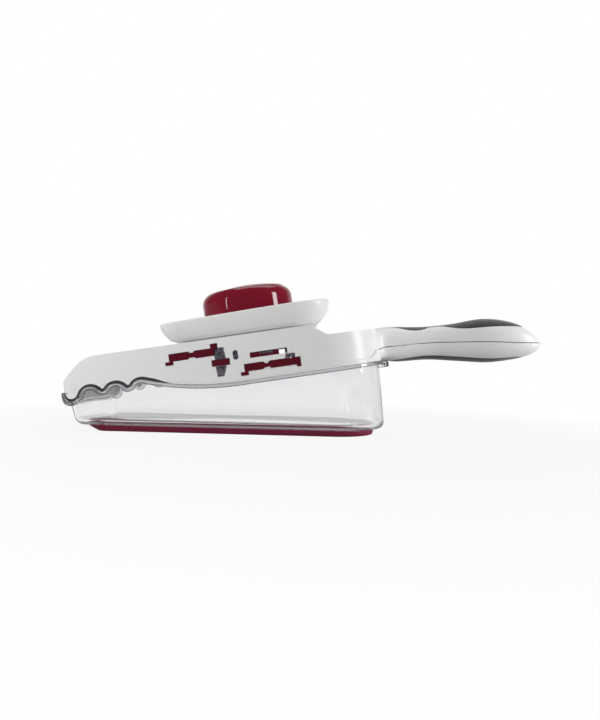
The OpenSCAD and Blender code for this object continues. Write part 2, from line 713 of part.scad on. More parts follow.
module straight_cartridge() color(burgundy) on_slope() translate([cutter_x, 0, cutter_z]) difference() {
    union() {
        across(-insert_half, insert_half) cartridge_view(cutter_len, cheek = false);
        for (s = [[-insert_half, -blade_half], [blade_half, insert_half]])
            across(s[0], s[1]) cartridge_view(cutter_len);
    }
    across(-blade_half, blade_half) blade_place(edge_x) blade_slot(blade_t);
    pockets();
}
// Moulding pockets under a cartridge's bar: place and length along it
pocket_x = [[7, 8], [notch[1] + 1, 3.4]];
pocket_w = 20;
pocket_pitch = 24;
module pockets() for (i = [0:3]) for (p = pocket_x)
    translate([p[0], (i - 2) * pocket_pitch + (pocket_pitch - pocket_w) / 2, foot_h - 1])
        cube([p[1], pocket_w, bar_h - 0.8]);

module straight_blade() color(steel) on_slope() translate([cutter_x, 0, cutter_z])
    across(-blade_half, blade_half) blade_place(edge_x)
        polygon([[0, 0], [-blade_len, 0], [-blade_len, -blade_t], [-bevel_len, -blade_t]]);

module crinkle_cartridge() color(burgundy) on_slope() translate([spare_x, 0, spare_z]) difference() {
    across(-insert_half, insert_half) cartridge_view(spare_len, tail = true, cheek = false);
    across(-blade_half, blade_half) blade_place(spare_edge_x) blade_slot(crinkle + blade_t);
    pockets();
}
// The crinkle blade keeps inside its bar's outline, so that the whole insert slides through the
// wall; a lug at each end stands on the bar
lug_len = 3;
module crinkle_blade() color(steel) on_slope() translate([spare_x, 0, spare_z]) intersection() {
    steps = ceil(2 * blade_half);
    rows = [for (i = [0:steps]) -blade_half + i * 2 * blade_half / steps];
    face = [for (y = rows) [y, -(crinkle / 2) * (1 - cos(360 * y / crinkle_pitch))]];
    union() {
        translate([spare_edge_x, 0, foot_h + bar_h + cheek_h]) rotate([0, -blade_slope, 0])
            rotate([90, 0, 90]) translate([0, 0, -blade_len]) linear_extrude(blade_len)
                polygon(concat(face, reversed([for (p = face) [p.x, p.y - blade_t]])));
        for (s = [0, 1]) mirror([0, s, 0]) across(-insert_half, -blade_half + 0.6)
            translate([cheek_x, foot_h + bar_h]) square([lug_len, cheek_h - 0.2]);
    }
    across(-reach, reach) cartridge_view(spare_len, 0.1, tail = true);
}

// End view of a comb: teeth over and under a grip bar, grown by g
tooth_taper = [0.5, 0.9];               // how much a tooth narrows at its back and at its edge
low_tooth_h = tooth_h - 0.6;            // length of a tooth under the bar
tooth_edge = 2;                         // length of a tooth's ground edge
module tooth_view(g = 0) polygon([[-tooth_w / 2 - g, 0], [tooth_w / 2 + g, 0],
    [tooth_w / 2 - tooth_taper[1] + g, tooth_h + g], [-tooth_w / 2 + tooth_taper[0] - g, tooth_h + g]]);
module low_tooth_view(g = 0) polygon([[-tooth_w / 2 - g, 0], [tooth_w / 2 + g, 0],
    [tooth_taper[1] + g, -low_tooth_h - g], [-tooth_w / 2 + tooth_taper[0] - g, -low_tooth_h - g]]);
module comb_view(g) translate([comb_x, hub_z]) {
    square([hub_len + 2 * g, hub_h + 2 * g], center = true);
    translate([0, hub_h / 2]) tooth_view(g);
    translate([0, -hub_h / 2]) low_tooth_view(g);
}
comb_end = 4.6;                         // length of the solid ends of the comb's bar
comb_rib = 3;                           // width of the bar between them
module comb_carrier() color(burgundy) on_slope() translate([comb_x, 0, hub_z]) {
    across(-insert_half, insert_half) square([comb_rib, hub_h], center = true);
    for (s = [-insert_half, insert_half - comb_end])
        across(s, s + comb_end) square([hub_len, hub_h], center = true);
}
// A row of teeth whose edges point towards the handle
module teeth(pitch) {
    n = floor((inner - comb_end) / pitch);
    for (y = [for (i = [-n:n]) i * pitch, -insert_half + comb_end / 2, insert_half - comb_end / 2])
        translate([0, y, -tooth_h]) linear_extrude(2 * tooth_h)
            polygon([[-tooth_w / 2, -tooth_t / 2], [tooth_w / 2 - tooth_edge, -tooth_t / 2], [tooth_w / 2, 0],
                     [tooth_w / 2 - tooth_edge, tooth_t / 2], [-tooth_w / 2, tooth_t / 2]]);
}
module coarse_teeth() color(steel) on_slope() translate([comb_x, 0, hub_z + hub_h / 2]) intersection() {
    teeth(coarse_pitch);
    across(-reach, reach) tooth_view();
}
module fine_teeth() color(steel) on_slope() translate([comb_x, 0, hub_z - hub_h / 2]) intersection() {
    teeth(fine_pitch);
    across(-reach, reach) low_tooth_view();
}

module grater_slot_view() translate([grater_x, grater_z])
    square([grater_slot, grater_grip_h + 2 * slide_gap]);
// In the far wall the free end of that slot is taller, so that a finger can push the grater out
push_h = 7;
module push_view() translate([grater_x + grater_len + 2 * slide_gap, grater_z])
    square([grater_slot - grater_len - 2 * slide_gap, push_h]);
grater_rail = 2.6;                      // width of the frame's rails
grip_cut = [6.6, 3.8];                  // where the near grip is cut down, from its two ends
plate_t = 0.8;                          // thickness of the perforated plate
plate_z = 0.2;                          // height of the plate over the frame's underside
module grater_frame() color(burgundy) on_slope() translate([grater_x + slide_gap, 0, grater_z + slide_gap]) {
    for (x = [0, grater_len - grater_rail])
        translate([x, -insert_half, 0]) cube([grater_rail, 2 * insert_half, grater_t]);
    difference() {
        translate([0, -insert_half, 0]) cube([grater_len, wall - 0.5, grater_grip_h]);
        translate([grip_cut[0], -insert_half - 1, grater_t])
            cube([grater_len - grip_cut[0] - grip_cut[1], 2, grater_grip_h]);
    }
    translate([0, insert_half - 3, 0]) cube([grater_len, 3, grater_t]);
}
rasp_pitch = 7;
rasp_rows = floor(2 * inner / rasp_pitch) - 2;
module grater_plate() color(steel) on_slope() {
    rasp();
    grip_inlay();
}
module rasp() translate([grater_x + slide_gap + grater_rail, 0, grater_z + slide_gap]) difference() {
    w = grater_len - 2 * grater_rail;
    translate([0, -insert_half + wall - 0.5, plate_z]) cube([w, 2 * insert_half - wall - 2.5, plate_t]);
    for (j = [0:rasp_rows - 1]) for (i = [0:2])
        translate([w * (i + 0.5) / 3, (j - (rasp_rows - 1) / 2 + (i % 2 - 0.5) / 2) * rasp_pitch, -1])
            cylinder(r = rasp_r, h = 3, $fn = 24);
}
// A thin steel inlay fills the cut in the frame's grip
inlay_t = 0.7;
inlay_gap = 0.1;
module grip_inlay()
    translate([grater_x + slide_gap + grip_cut[0] + inlay_gap, 3 * inlay_gap - insert_half,
               grater_z + slide_gap + grater_t])
        cube([grater_len - grip_cut[0] - grip_cut[1] - 2 * inlay_gap, inlay_t,
              grater_grip_h - grater_t - 2 * inlay_gap]);

// ---------- infeed ramp ----------

ramp_front = comb_x + tooth_w / 2 + slide_gap + 0.8;
ramp_top = rear_z + 0.1 - hinge_z;              // height of the ramp's face over its hinge
ramp_len = hinge_x - ramp_front;
blade_z = cutter_z + foot_h + bar_h + cheek_h;  // height of the straight blade's edge
ramp_slope = asin((blade_z - slice - hinge_z - ramp_top) / ramp_len);
guide_travel = (slice - thinnest) * (hinge_x - guide_x) / ramp_len;
guide_z = guide_slot_z + guide_r + 0.1;
hinge_reach = inner + 0.6 * wall;               // half length of the hinge pin
flange_y = inner - 0.4 - sheet;

module guide_slot_view() translate([guide_x, guide_z]) {
    square_h = guide_travel;
    r = guide_r + 0.25;
    for (z = [-0.05, square_h + 0.2]) translate([0, z]) circle(r, $fn = 48);
    translate([-r, -0.05]) square([2 * r, square_h + 0.25]);
}
flange_h = 3.2;                                 // depth of the flange between its pins
// The ramp's flange hangs low round its guide pin and stays over the stored grater
module flange_view() {
    low_z = grater_z + slide_gap + grater_t + 0.4 - hinge_z;
    difference() {
        union() {
            polygon([[-ramp_len + 2, ramp_top - 0.1], [-ramp_len + 2, low_z], [guide_x - hinge_x + 4, low_z],
                     [guide_x - hinge_x + 8, ramp_top - flange_h], [-4 * hinge_r, ramp_top - flange_h],
                     [0, -hinge_r - 2], [3, ramp_top - 0.1]]);
            translate([guide_x - hinge_x, guide_z - hinge_z]) circle(guide_r + 1, $fn = 48);
            circle(hinge_r + 1.4, $fn = 48);
        }
        circle(hinge_r + pin_fit, $fn = 48);
    }
}
module ramp_frame() translate([hinge_x, 0, hinge_z]) children();
module infeed_ramp() color(steel) on_slope() ramp_frame() difference() {
    union() {
        rotate([0, ramp_slope, 0]) ramp_sheet();
        for (s = [-1, 1]) across(s > 0 ? flange_y : -flange_y - sheet, s > 0 ? flange_y + sheet : -flange_y)
            flange_view();
    }
    guide_holes();
}
module guide_holes() for (s = [-1, 1])
    translate([guide_x - hinge_x, s * (flange_y + sheet / 2), guide_z - hinge_z])
        rotate([90, 0, 0]) cylinder(r = guide_r, h = sheet + 1, center = true, $fn = 48);
ramp_ribs = 7;
ramp_rib_r = 1.2;
ramp_rib_x = 4;                         // where the ribs start, behind the ramp's front edge
module ramp_sheet() {
    translate([-ramp_len, -flange_y - sheet, ramp_top - sheet])
        cube([ramp_len + ramp_tail, 2 * (flange_y + sheet), sheet]);
    for (i = [0:ramp_ribs - 1])
        translate([-ramp_len + ramp_rib_x, (i - (ramp_ribs - 1) / 2) * 2 * flange_y / ramp_ribs,
                   ramp_top - 0.8]) rotate([0, 90, 0])
            cylinder(r = ramp_rib_r, h = ramp_len - ramp_rib_x - 2.5 * hinge_r, $fn = 24);
}
module ramp_hinge_pin() color(steel) on_slope() ramp_frame() rotate([90, 0, 0])
    cylinder(r = hinge_r, h = 2 * hinge_reach, center = true, $fn = 48);
module ramp_guide_pins() color(steel) on_slope() for (s = [0, 1]) mirror([0, s, 0])
    translate([guide_x, insert_half, guide_z]) rotate([90, 0, 0])
        cylinder(r = guide_r, h = insert_half - flange_y, $fn = 48);

// ---------- food guard ----------

tray_z = rail_z + ride_gap;
tray_half = half - 0.4;
tray_corner = [8, 18];                  // corner radii of the floor at its nose and its handle end
tray_curl = 0.75;                       // how soon the walls flare out: 1 is a quarter of a sine
function tray_ring(h, g) =                      // h runs from 0 at the floor to 1 at the rim
    let (f = pow(sin(90 * h), tray_curl))
    [for (c = ring_of(-tray_nose, tray_tail, tray_half, tray_corner[0], tray_corner[1]))
        let (p = c[0] - g * c[1], k = (p.x + tray_nose) / (tray_nose + tray_tail))
        [p.x + f * c[1].x * (c[1].x < 0 ? tray_flare_nose : tray_flare_tail),
         p.y + f * c[1].y * tray_flare_side,
         h * (tray_h_nose + (tray_h_tail - tray_h_nose) * k)]];
module on_guard() on_slope() translate([guard_x, 0, tray_z]) children();
well_out = well_r + tray_t;
well_lip = 4.5;                         // how far the well's top closes in over the pusher
runner_t = 2.4;                         // thickness of the runners

module guard_tray() color(white) on_guard() difference() {
    union() {
        difference() {
            skin([for (h = [0, 0.08, 0.2, 0.38, 0.65, 1]) tray_ring(h, 0)]);
            translate([0, 0, tray_t]) skin([for (h = [0, 0.08, 0.2, 0.38, 0.65, 1.2]) tray_ring(h, tray_t)]);
        }
        cylinder(r = well_out, h = well_h, $fn = 96);
        for (s = [-1, 1])
            translate([-tray_nose + 2, s * (inner - slide_gap - runner_t / 2) - runner_t / 2, -runner_h])
                cube([tray_nose + tray_tail - 3, runner_t, runner_h + 1]);
    }
    translate([0, 0, -1]) cylinder(r = well_r, h = well_h - 1, $fn = 96);
    cylinder(r = well_r - well_lip, h = far, $fn = 96);
}

knob_z = tray_t + 2.4;                          // height of the knob's lower edge over the guard's underside
pusher_z = 2.8;                                 // height of the pusher's underside over it
shoulder_turn = 65;                             // angle that the knob's shoulder turns through
module on_axis(z) on_guard() translate([0, 0, z]) children();
cap_t = 1.2;                                    // thickness of the cap at its edge
cap_seat = knob_h - 1.5;                        // height of the seat that the cap lies in
ceiling = cap_seat + 0.2 - knob_t;              // height of the knob's ceiling inside
cap_r = knob_r - shoulder_r * (1 - cos(shoulder_turn)) - 0.2;
module knob() color(burgundy) on_axis(knob_z) difference() {
    rotate_extrude($fn = 128) difference() {
        polygon(concat([[0, 0], [knob_r, 0]],
            arc([knob_r - shoulder_r, knob_h - shoulder_r * sin(shoulder_turn)],
                shoulder_r, 0, shoulder_turn, 8),
            [[0, knob_h]]));
        translate([-1, -1]) square([knob_r - knob_t + 1, ceiling + 1]);
        translate([-1, cap_seat]) square([cap_r + 1, far]);
    }
    cylinder(r = screw_r, h = far, $fn = 32);
}
module knob_cap() color(burgundy) on_axis(knob_z + cap_seat) intersection() {
    cylinder(r = cap_r, h = far, $fn = 96);
    dome_r = (cap_r * cap_r + cap_rise * cap_rise) / (2 * cap_rise);
    rotate([0, -cap_lean, 0]) translate([0, 0, cap_t + cap_rise - dome_r]) sphere(r = dome_r, $fn = 128);
}
pusher_r = well_r - well_gap;
stem_top = knob_z + ceiling - pusher_z;
seat_z = stem_top - 9;                          // height of the screw's seat in the stem
spike_seat = 2;                                 // depth of the spikes' holes in the pusher
module food_pusher() color(white) on_axis(pusher_z) difference() {
    union() {
        cylinder(r = pusher_r, h = pusher_t, $fn = 96);
        cylinder(r = stem_r, h = stem_top, $fn = 64);
    }
    spike_places() translate([0, 0, -1]) cylinder(r = spike_r, h = spike_seat + 1, $fn = 32);
    translate([0, 0, -1]) cylinder(r = head_r + head_gap, h = seat_z + 1, $fn = 32);
    cylinder(r = screw_r + screw_gap, h = far, $fn = 32);
}
module spike_places() {
    for (i = [0:11]) rotate(i * 30) translate([pusher_r - 7, 0, 0]) children();
    for (i = [0:5]) rotate(i * 60 + 15) translate([pusher_r / 2 - 1, 0, 0]) children();
}
spike_tip = tray_z + pusher_z - blade_z - 1.2;  // length of a spike under the pusher
spike_point = 2.5;                              // length of a spike's point
module pusher_spikes() color(steel) on_axis(pusher_z) spike_places() {
    translate([0, 0, -spike_tip + spike_point])
        cylinder(r = spike_r, h = spike_tip - spike_point + spike_seat, $fn = 32);
    translate([0, 0, -spike_tip]) cylinder(r1 = spike_r / 6, r2 = spike_r, h = spike_point, $fn = 32);
}
module plunger_screw() color(steel) on_axis(pusher_z + seat_z) {
    cylinder(r = screw_r, h = stem_top - seat_z + knob_t * 0.8, $fn = 32);
    translate([0, 0, -head_t]) cylinder(r = head_r, h = head_t, $fn = 32);
}

base_ring();
container();
slicer_body();
edge_grip();
handle_lower_shell();
handle_top_grip();
handle_bottom_grip();
handle_screws();
infeed_ramp();
ramp_hinge_pin();
ramp_guide_pins();
straight_cartridge();
straight_blade();
crinkle_cartridge();
crinkle_blade();
comb_carrier();
coarse_teeth();
fine_teeth();
grater_frame();
grater_plate();
guard_tray();
knob();
knob_cap();
food_pusher();
pusher_spikes();
plunger_screw();
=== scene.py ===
# A hand-held mandoline slicer on its clear catch container.
# The script follows the object as it is put together: base ring, container, slicer body, soft
# strip, handle, ramp and inserts, then the food guard with its knob. Sizes are in millimetres,
# and become metres where they enter a mesh.

import json
import math

import bmesh
import bpy
import numpy as np
from mathutils import Matrix, Vector

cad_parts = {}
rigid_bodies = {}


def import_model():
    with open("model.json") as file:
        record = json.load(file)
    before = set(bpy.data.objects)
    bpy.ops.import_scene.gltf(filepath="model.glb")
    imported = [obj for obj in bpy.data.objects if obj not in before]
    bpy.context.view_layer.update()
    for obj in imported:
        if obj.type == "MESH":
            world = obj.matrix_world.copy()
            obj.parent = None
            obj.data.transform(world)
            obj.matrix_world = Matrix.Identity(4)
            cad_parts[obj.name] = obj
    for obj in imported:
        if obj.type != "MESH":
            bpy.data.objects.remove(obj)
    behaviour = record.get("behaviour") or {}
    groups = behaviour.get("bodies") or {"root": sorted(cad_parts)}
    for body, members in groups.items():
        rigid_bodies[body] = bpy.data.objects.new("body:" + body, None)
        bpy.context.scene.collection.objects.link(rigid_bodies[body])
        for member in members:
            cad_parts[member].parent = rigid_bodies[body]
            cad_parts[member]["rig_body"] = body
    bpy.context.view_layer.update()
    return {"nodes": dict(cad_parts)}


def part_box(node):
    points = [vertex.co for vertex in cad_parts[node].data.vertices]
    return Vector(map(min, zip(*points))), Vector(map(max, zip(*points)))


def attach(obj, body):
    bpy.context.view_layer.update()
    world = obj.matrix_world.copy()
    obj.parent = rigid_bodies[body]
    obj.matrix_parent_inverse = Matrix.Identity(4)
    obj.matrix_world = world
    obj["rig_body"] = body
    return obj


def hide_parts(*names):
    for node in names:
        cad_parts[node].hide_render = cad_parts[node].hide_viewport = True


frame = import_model()
nodes = frame["nodes"]
scene = bpy.context.scene


# ---------- camera ----------
# It stands in front of the near wall, a little above the table, and looks level.

camera = bpy.data.objects.new("camera", bpy.data.cameras.new("camera"))
camera.data.lens = 28.95
camera.data.clip_start = 0.01
scene.collection.objects.link(camera)
yaw, pitch, roll = (math.radians(a) for a in (-2.2585, 0.5640, 1.75))
camera.matrix_world = (
    Matrix.Translation((-0.030775, -0.469, 0.0515))
    @ Matrix.Rotation(yaw, 4, "Z")
    @ Matrix.Rotation(math.pi / 2 + pitch, 4, "X")
    @ Matrix.Rotation(roll, 4, "Z")
)
scene.camera = camera


# ---------- studio ----------
# A white table in front of a white backdrop. The room behind the camera is dim, so that gloss
# keeps its depth; a tall strip light stands on the right, a thin one on the left, and a soft
# one stands behind the camera's left shoulder.

def linear(code):
    """A six-digit sRGB colour as a linear colour with full alpha."""
    parts = [int(code[i:i + 2], 16) / 255 for i in (0, 2, 4)]
    return [p / 12.92 if p <= 0.04045 else ((p + 0.055) / 1.055) ** 2.4 for p in parts] + [1.0]


def add(tree, kind, settings=None, links=None):
    """Adds a node of a kind, sets its values and sockets, and links its inputs."""
    node = tree.nodes.new(kind)
    for key, value in (settings or {}).items():
        if isinstance(key, int) or key in node.inputs:
            node.inputs[key].default_value = value
        else:
            setattr(node, key, value)
    for key, source in (links or {}).items():
        tree.links.new(source, node.inputs[key])
    return node


def new_material(name):
    """An empty node material and its tree."""
    material = bpy.data.materials.new(name)
    material.use_nodes = True
    material.node_tree.nodes.clear()
    return material, material.node_tree


scene.view_settings.view_transform = "Standard"
scene.world = bpy.data.worlds.new("surround")
scene.world.use_nodes = True
sky = scene.world.node_tree
sky.nodes.clear()
path = add(sky, "ShaderNodeLightPath")
direction = add(sky, "ShaderNodeTexCoord")
split = add(sky, "ShaderNodeSeparateXYZ", links={0: direction.outputs["Generated"]})
# The surround is white to the eye. Gloss sees it bright only far behind the object, clear
# plastic sees it bright from the object backwards, and matt surfaces get a soft half light.
mirrored = add(sky, "ShaderNodeMapRange",
               {"From Min": 0.5, "From Max": 1.0, "To Min": 0.08, "To Max": 0.9},
               {"Value": split.outputs["Y"]})
refracted = add(sky, "ShaderNodeMapRange",
                {"From Min": -0.2, "From Max": 0.5, "To Min": 0.5, "To Max": 1.0},
                {"Value": split.outputs["Y"]})
soft = add(sky, "ShaderNodeMapRange",
           {"From Min": -0.6, "From Max": 0.6, "To Min": 0.22, "To Max": 0.7},
           {"Value": split.outputs["Y"]})
dull_or_glossy = add(sky, "ShaderNodeMix", links={
    0: path.outputs["Is Glossy Ray"], 2: soft.outputs[0], 3: mirrored.outputs[0]})
or_clear = add(sky, "ShaderNodeMix", links={
    0: path.outputs["Is Transmission Ray"], 2: dull_or_glossy.outputs[0], 3: refracted.outputs[0]})
strength = add(sky, "ShaderNodeMix", {3: 1.0},
               {0: path.outputs["Is Camera Ray"], 2: or_clear.outputs[0]})
glow = add(sky, "ShaderNodeBackground", {"Color": (1, 1, 1, 1)}, {"Strength": strength.outputs[0]})
add(sky, "ShaderNodeOutputWorld", links={"Surface": glow.outputs[0]})

# White laminate, a plain matte white: it holds the object's soft shadow, and melts into the
# backdrop away from the object.
table_white, tree = new_material("white_laminate_table")
path = add(tree, "ShaderNodeLightPath")
seen = add(tree, "ShaderNodeMath", {"operation": "MAXIMUM"},
           {0: path.outputs["Is Camera Ray"], 1: path.outputs["Is Transmission Ray"]})
place = add(tree, "ShaderNodeTexCoord")
away = add(tree, "ShaderNodeVectorMath", {"operation": "LENGTH"}, {0: place.outputs["Object"]})
melt = add(tree, "ShaderNodeMapRange", {"From Min": 0.2, "From Max": 0.4, "To Min": 0.9, "To Max": 1.0},
           {"Value": away.outputs["Value"]})
share = add(tree, "ShaderNodeMath", {"operation": "MULTIPLY"}, {0: seen.outputs[0], 1: melt.outputs[0]})
matte = add(tree, "ShaderNodeBsdfDiffuse", {"Color": linear("b4b4b4")})
bright = add(tree, "ShaderNodeEmission", {"Color": (1, 1, 1, 1)})
melted = add(tree, "ShaderNodeMixShader", links={
    0: share.outputs[0], 1: matte.outputs[0], 2: bright.outputs[0]})
add(tree, "ShaderNodeOutputMaterial", links={"Surface": melted.outputs[0]})

table_mesh = bpy.data.meshes.new("table")
table_mesh.from_pydata([(-6, -0.41, 0), (6, -0.41, 0), (6, 10, 0), (-6, 10, 0)], [], [(0, 1, 2, 3)])
table_mesh.materials.append(table_white)
table = bpy.data.objects.new("table", table_mesh)
scene.collection.objects.link(table)

# Each lamp's place, aim and size in metres, its watts, and whether gloss and clear plastic show it
for name, place, aim, size, power, shown in (
    ("lamp_overhead", (0.0, 0.35, 1.2), (0, 0, 0.03), (1.0, 0.6), 2.8, True),
    ("lamp_front_left", (-0.4, -0.36, 0.25), (-0.12, 0, 0.05), (0.4, 0.4), 1.5, False),
    ("lamp_right", (0.75, -0.12, 0.12), (0, 0, 0.06), (0.25, 0.25), 2.4, False),
    ("strip_right", (1.12, -0.32, 0.4), (-0.02, 0, 0.06), (0.25, 0.6), 5.0, True),
    ("strip_left", (-0.85, -0.62, 0.22), (-0.05, 0, 0.08), (0.022, 0.34), 0.4, True),
):
    lamp = bpy.data.objects.new(name, bpy.data.lights.new(name, "AREA"))
    lamp.data.shape = "RECTANGLE"
    lamp.data.size = size[0]
    lamp.data.size_y = size[1]
    lamp.data.energy = power
    lamp.location = place
    lamp.visible_glossy = shown
    lamp.visible_transmission = shown
    lamp.rotation_euler = (Vector(aim) - Vector(place)).to_track_quat("-Z", "Y").to_euler()
    scene.collection.objects.link(lamp)


# ---------- base ring ----------
# A burgundy foot ring, injection moulded in glossy ABS and pressed onto the container's
# underside. Its outer face flares out upwards, most of all towards the nose.


def finished(piece, node, finish):
    """Gives a piece its finish and the body of the node that it stands for, and hides that node."""
    piece.data.materials.clear()
    piece.data.materials.append(finish)
    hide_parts(node)
    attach(piece, nodes[node]["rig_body"])


def solid(name, sheets, node, finish, rim_painted_shade=None):
    """One piece from closed sheets, each a grid of points in millimetres whose rows are rings.
    Quads join neighbouring points; a sheet given with True also closes its last row onto its
    first. A sheet that encloses a negative volume is turned round, and doubles are merged.
    Where a share of painted shade is given for each of all the points, it is kept as an attribute."""
    corners = []
    faces = []
    count = 0
    for grid, loop in sheets:
        rows, around = grid.shape[:2]
        index = np.arange(rows * around).reshape(rows, around)
        index = np.concatenate([index, index[:, :1]], axis=1)
        index = np.concatenate([index, index[:1]]) if loop else index
        quads = np.stack([index[:-1, :-1], index[1:, :-1], index[1:, 1:], index[:-1, 1:]], axis=-1)
        quads = quads.reshape(-1, 4)
        points = grid.reshape(-1, 3) - grid.reshape(-1, 3).mean(0)
        a, b, c, d = (points[quads[:, k]] for k in range(4))
        volume = (a * (np.cross(b, c) + np.cross(c, d))).sum()
        faces.append((quads if volume > 0 else quads[:, ::-1]) + count)
        corners.append(grid.reshape(-1, 3) / 1000)
        count += rows * around
    mesh = bpy.data.meshes.new(name)
    mesh.from_pydata(np.vstack(corners), [], np.vstack(faces).tolist())
    if rim_painted_shade is not None:
        mesh.attributes.new("rim_painted_shade", "FLOAT", "POINT").data.foreach_set("value", rim_painted_shade)
    form = bmesh.new()
    form.from_mesh(mesh)
    bmesh.ops.remove_doubles(form, verts=form.verts, dist=1e-6)
    form.to_mesh(mesh)
    form.free()
    mesh.shade_smooth()
    mesh.set_sharp_from_angle(angle=math.radians(50))
    piece = bpy.data.objects.new(name, mesh)
    scene.collection.objects.link(piece)
    finished(piece, node, finish)
    return piece


def eased(corners, steps=6):
    """A closed or open line through corners (a, b, cut): each corner is cut back by its last
    number along both its sides, and a parabola bridges the cut."""
    line = np.array([c[:2] for c in corners], float)
    cut = np.array([c[2] for c in corners], float)[:, None]
    back, on = np.roll(line, 1, axis=0) - line, np.roll(line, -1, axis=0) - line
    start = line + back / np.linalg.norm(back, axis=1, keepdims=True) * cut
    end = line + on / np.linalg.norm(on, axis=1, keepdims=True) * cut
    t = np.linspace(0, 1, steps)[None, :, None]
    curve = (1 - t) ** 2 * start[:, None] + 2 * t * (1 - t) * line[:, None] + t ** 2 * end[:, None]
    return curve.reshape(-1, 2)


def ring_of(nose, tail, side, nose_round, tail_round, arc=24, straight=2):
    """Rounded outline seen from above, as points and outward directions: four corner arcs,
    each a middle plus its radius times (cos, sin) of a quarter turn, and each followed by
    points along the straight side that leads to the next."""
    middles = ((tail - tail_round, tail_round - side, tail_round),
               (tail - tail_round, side - tail_round, tail_round),
               (nose + nose_round, side - nose_round, nose_round),
               (nose + nose_round, nose_round - side, nose_round))
    points = []
    headings = []
    for k, (x, y, r) in enumerate(middles):
        turn = np.radians(np.linspace(90 * k - 90, 90 * k, arc))
        heading = np.stack([np.cos(turn), np.sin(turn)], axis=1)
        points.append(np.array([x, y]) + r * heading)
        headings.append(heading)
        after = middles[(k + 1) % 4]
        goal = np.array(after[:2]) + after[2] * heading[-1]
        points.append(np.linspace(points[-1][-1], goal, straight + 2)[1:-1])
        headings.append(np.repeat(heading[-1:], straight, axis=0))
    return np.vstack(points), np.vstack(headings)


def moulded(name, colour, roughness, waves):
    """Injection moulded ABS. Shrinking leaves faint waves about 14 mm long in its reflections,
    and the mould's polish a grain of 1.6 mm, drawn that coarse so that it shows."""
    material, tree = new_material(name)
    place = add(tree, "ShaderNodeTexCoord")
    slow = add(tree, "ShaderNodeTexNoise", {"Scale": 1000 / 14, "Detail": 1.0},
               {"Vector": place.outputs["Object"]})
    fine = add(tree, "ShaderNodeTexNoise", {"Scale": 1000 / 1.6, "Detail": 2.0},
               {"Vector": place.outputs["Object"]})
    sheen = add(tree, "ShaderNodeMapRange", {"To Min": roughness * 0.85, "To Max": roughness * 1.2},
                {"Value": fine.outputs[0]})
    dent = add(tree, "ShaderNodeBump", {"Strength": waves, "Distance": 0.0006},
               {"Height": slow.outputs[0]})
    grain = add(tree, "ShaderNodeBump", {"Strength": waves * 0.5, "Distance": 0.00008},
                {"Height": fine.outputs[0], "Normal": dent.outputs[0]})
    shader = add(tree, "ShaderNodeBsdfPrincipled",
                 {"Base Color": linear(colour), "IOR": 1.54},
                 {"Roughness": sheen.outputs[0], "Normal": grain.outputs[0]})
    add(tree, "ShaderNodeOutputMaterial", links={"Surface": shader.outputs[0]})
    return material


# Burgundy ABS from a polished mould: a deep red under a sharp gloss, made slightly blue as a painted
# reflection of the white table on the ring's flared face
ring_abs_painted_reflection = moulded("ring_moulded_abs_painted_reflection", "7d183a", 0.06, 0.1)

base_reach = 102.5                      # half the ring's length, without its flare
ring_half = 45                          # half its width
ring_nose_round = 5
ring_tail_round = 34
ring_h = 4.5
ring_w = 9
nose_flare = 7.5                        # how far the ring's top leans out at its ends and sides
side_flare = 4.5
tail_flare = 0.5
ring_top = ring_h - 0.05                # a hair under the container's floor
tongue_h = 1.4
tongue_in = ring_w / 3                  # the tongue is the middle third of the ring
tongue_out = 2 * ring_w / 3
foot_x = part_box("base_ring")[0][0] * 1000 + base_reach + nose_flare

outline, heading = ring_of(-base_reach, base_reach, ring_half, ring_nose_round, ring_tail_round)
flare = (np.maximum(-nose_flare * heading[:, 0], tail_flare * heading[:, 0])
         + side_flare / 2 * np.abs(heading[:, 1]))
# Across the ring: inset from the outline, height and rounding
section = eased([(0, 0, 0.6), (0, ring_top, 0.5), (tongue_in, ring_top, 0.2),
                 (tongue_in, ring_h + tongue_h, 0.2), (tongue_out, ring_h + tongue_h, 0.2),
                 (tongue_out, ring_top, 0.2), (ring_w, ring_top, 0.5), (ring_w, 0, 0.6)])
# The flare fades out towards the tongue and grows with the height
lean = np.clip(1 - section[:, :1] / tongue_in, 0, 1) * section[:, 1:] / ring_h
spread = lean * flare - section[:, :1]
ring = np.stack([outline[:, 0] + spread * heading[:, 0] + foot_x,
                 outline[:, 1] + spread * heading[:, 1],
                 section[:, 1:] + 0 * outline[:, 0]], axis=-1)
solid("foot_ring", [(ring, True)], "base_ring", ring_abs_painted_reflection)


# ---------- container ----------
# A catch tub of clear SAN, injection moulded with a drafted wall, a rounded foot and a broad
# wavy rim that the slicer's edge sits on. A turned-down tab at its rear is held with a thumb, and
# a groove under its floor is pressed over the base ring's tongue.

# Styrene acrylonitrile from a polished mould: nearly colourless under a sharp gloss. Along the rim's
# cut edge, where light enters endways, a grey is painted in as shade. Lamp light and soft light pass
# through to what it holds. Light caught in the wall after three reflections comes back as a pale haze.
clear_san, tree = new_material("clear_moulded_san")
# Painted shade: the rim's marked edge is tinted grey
endways = add(tree, "ShaderNodeAttribute", {"attribute_name": "rim_painted_shade"})
edge_shade_tone = add(tree, "ShaderNodeMix", {"data_type": "RGBA", 6: linear("f7f7f8"), 7: linear("9c9ca0")},
           {0: endways.outputs["Fac"]})
shader = add(tree, "ShaderNodeBsdfPrincipled",
             {"Roughness": 0.01, "IOR": 1.57, "Transmission Weight": 1.0},
             {"Base Color": edge_shade_tone.outputs[2]})
path = add(tree, "ShaderNodeLightPath")
trapped = add(tree, "ShaderNodeMath", {"operation": "GREATER_THAN", 1: 2.5},
              {0: path.outputs["Glossy Depth"]})
haze = add(tree, "ShaderNodeBsdfDiffuse", {"Color": linear("dad6da")})
wall_look = add(tree, "ShaderNodeMixShader", links={
    0: trapped.outputs[0], 1: shader.outputs[0], 2: haze.outputs[0]})
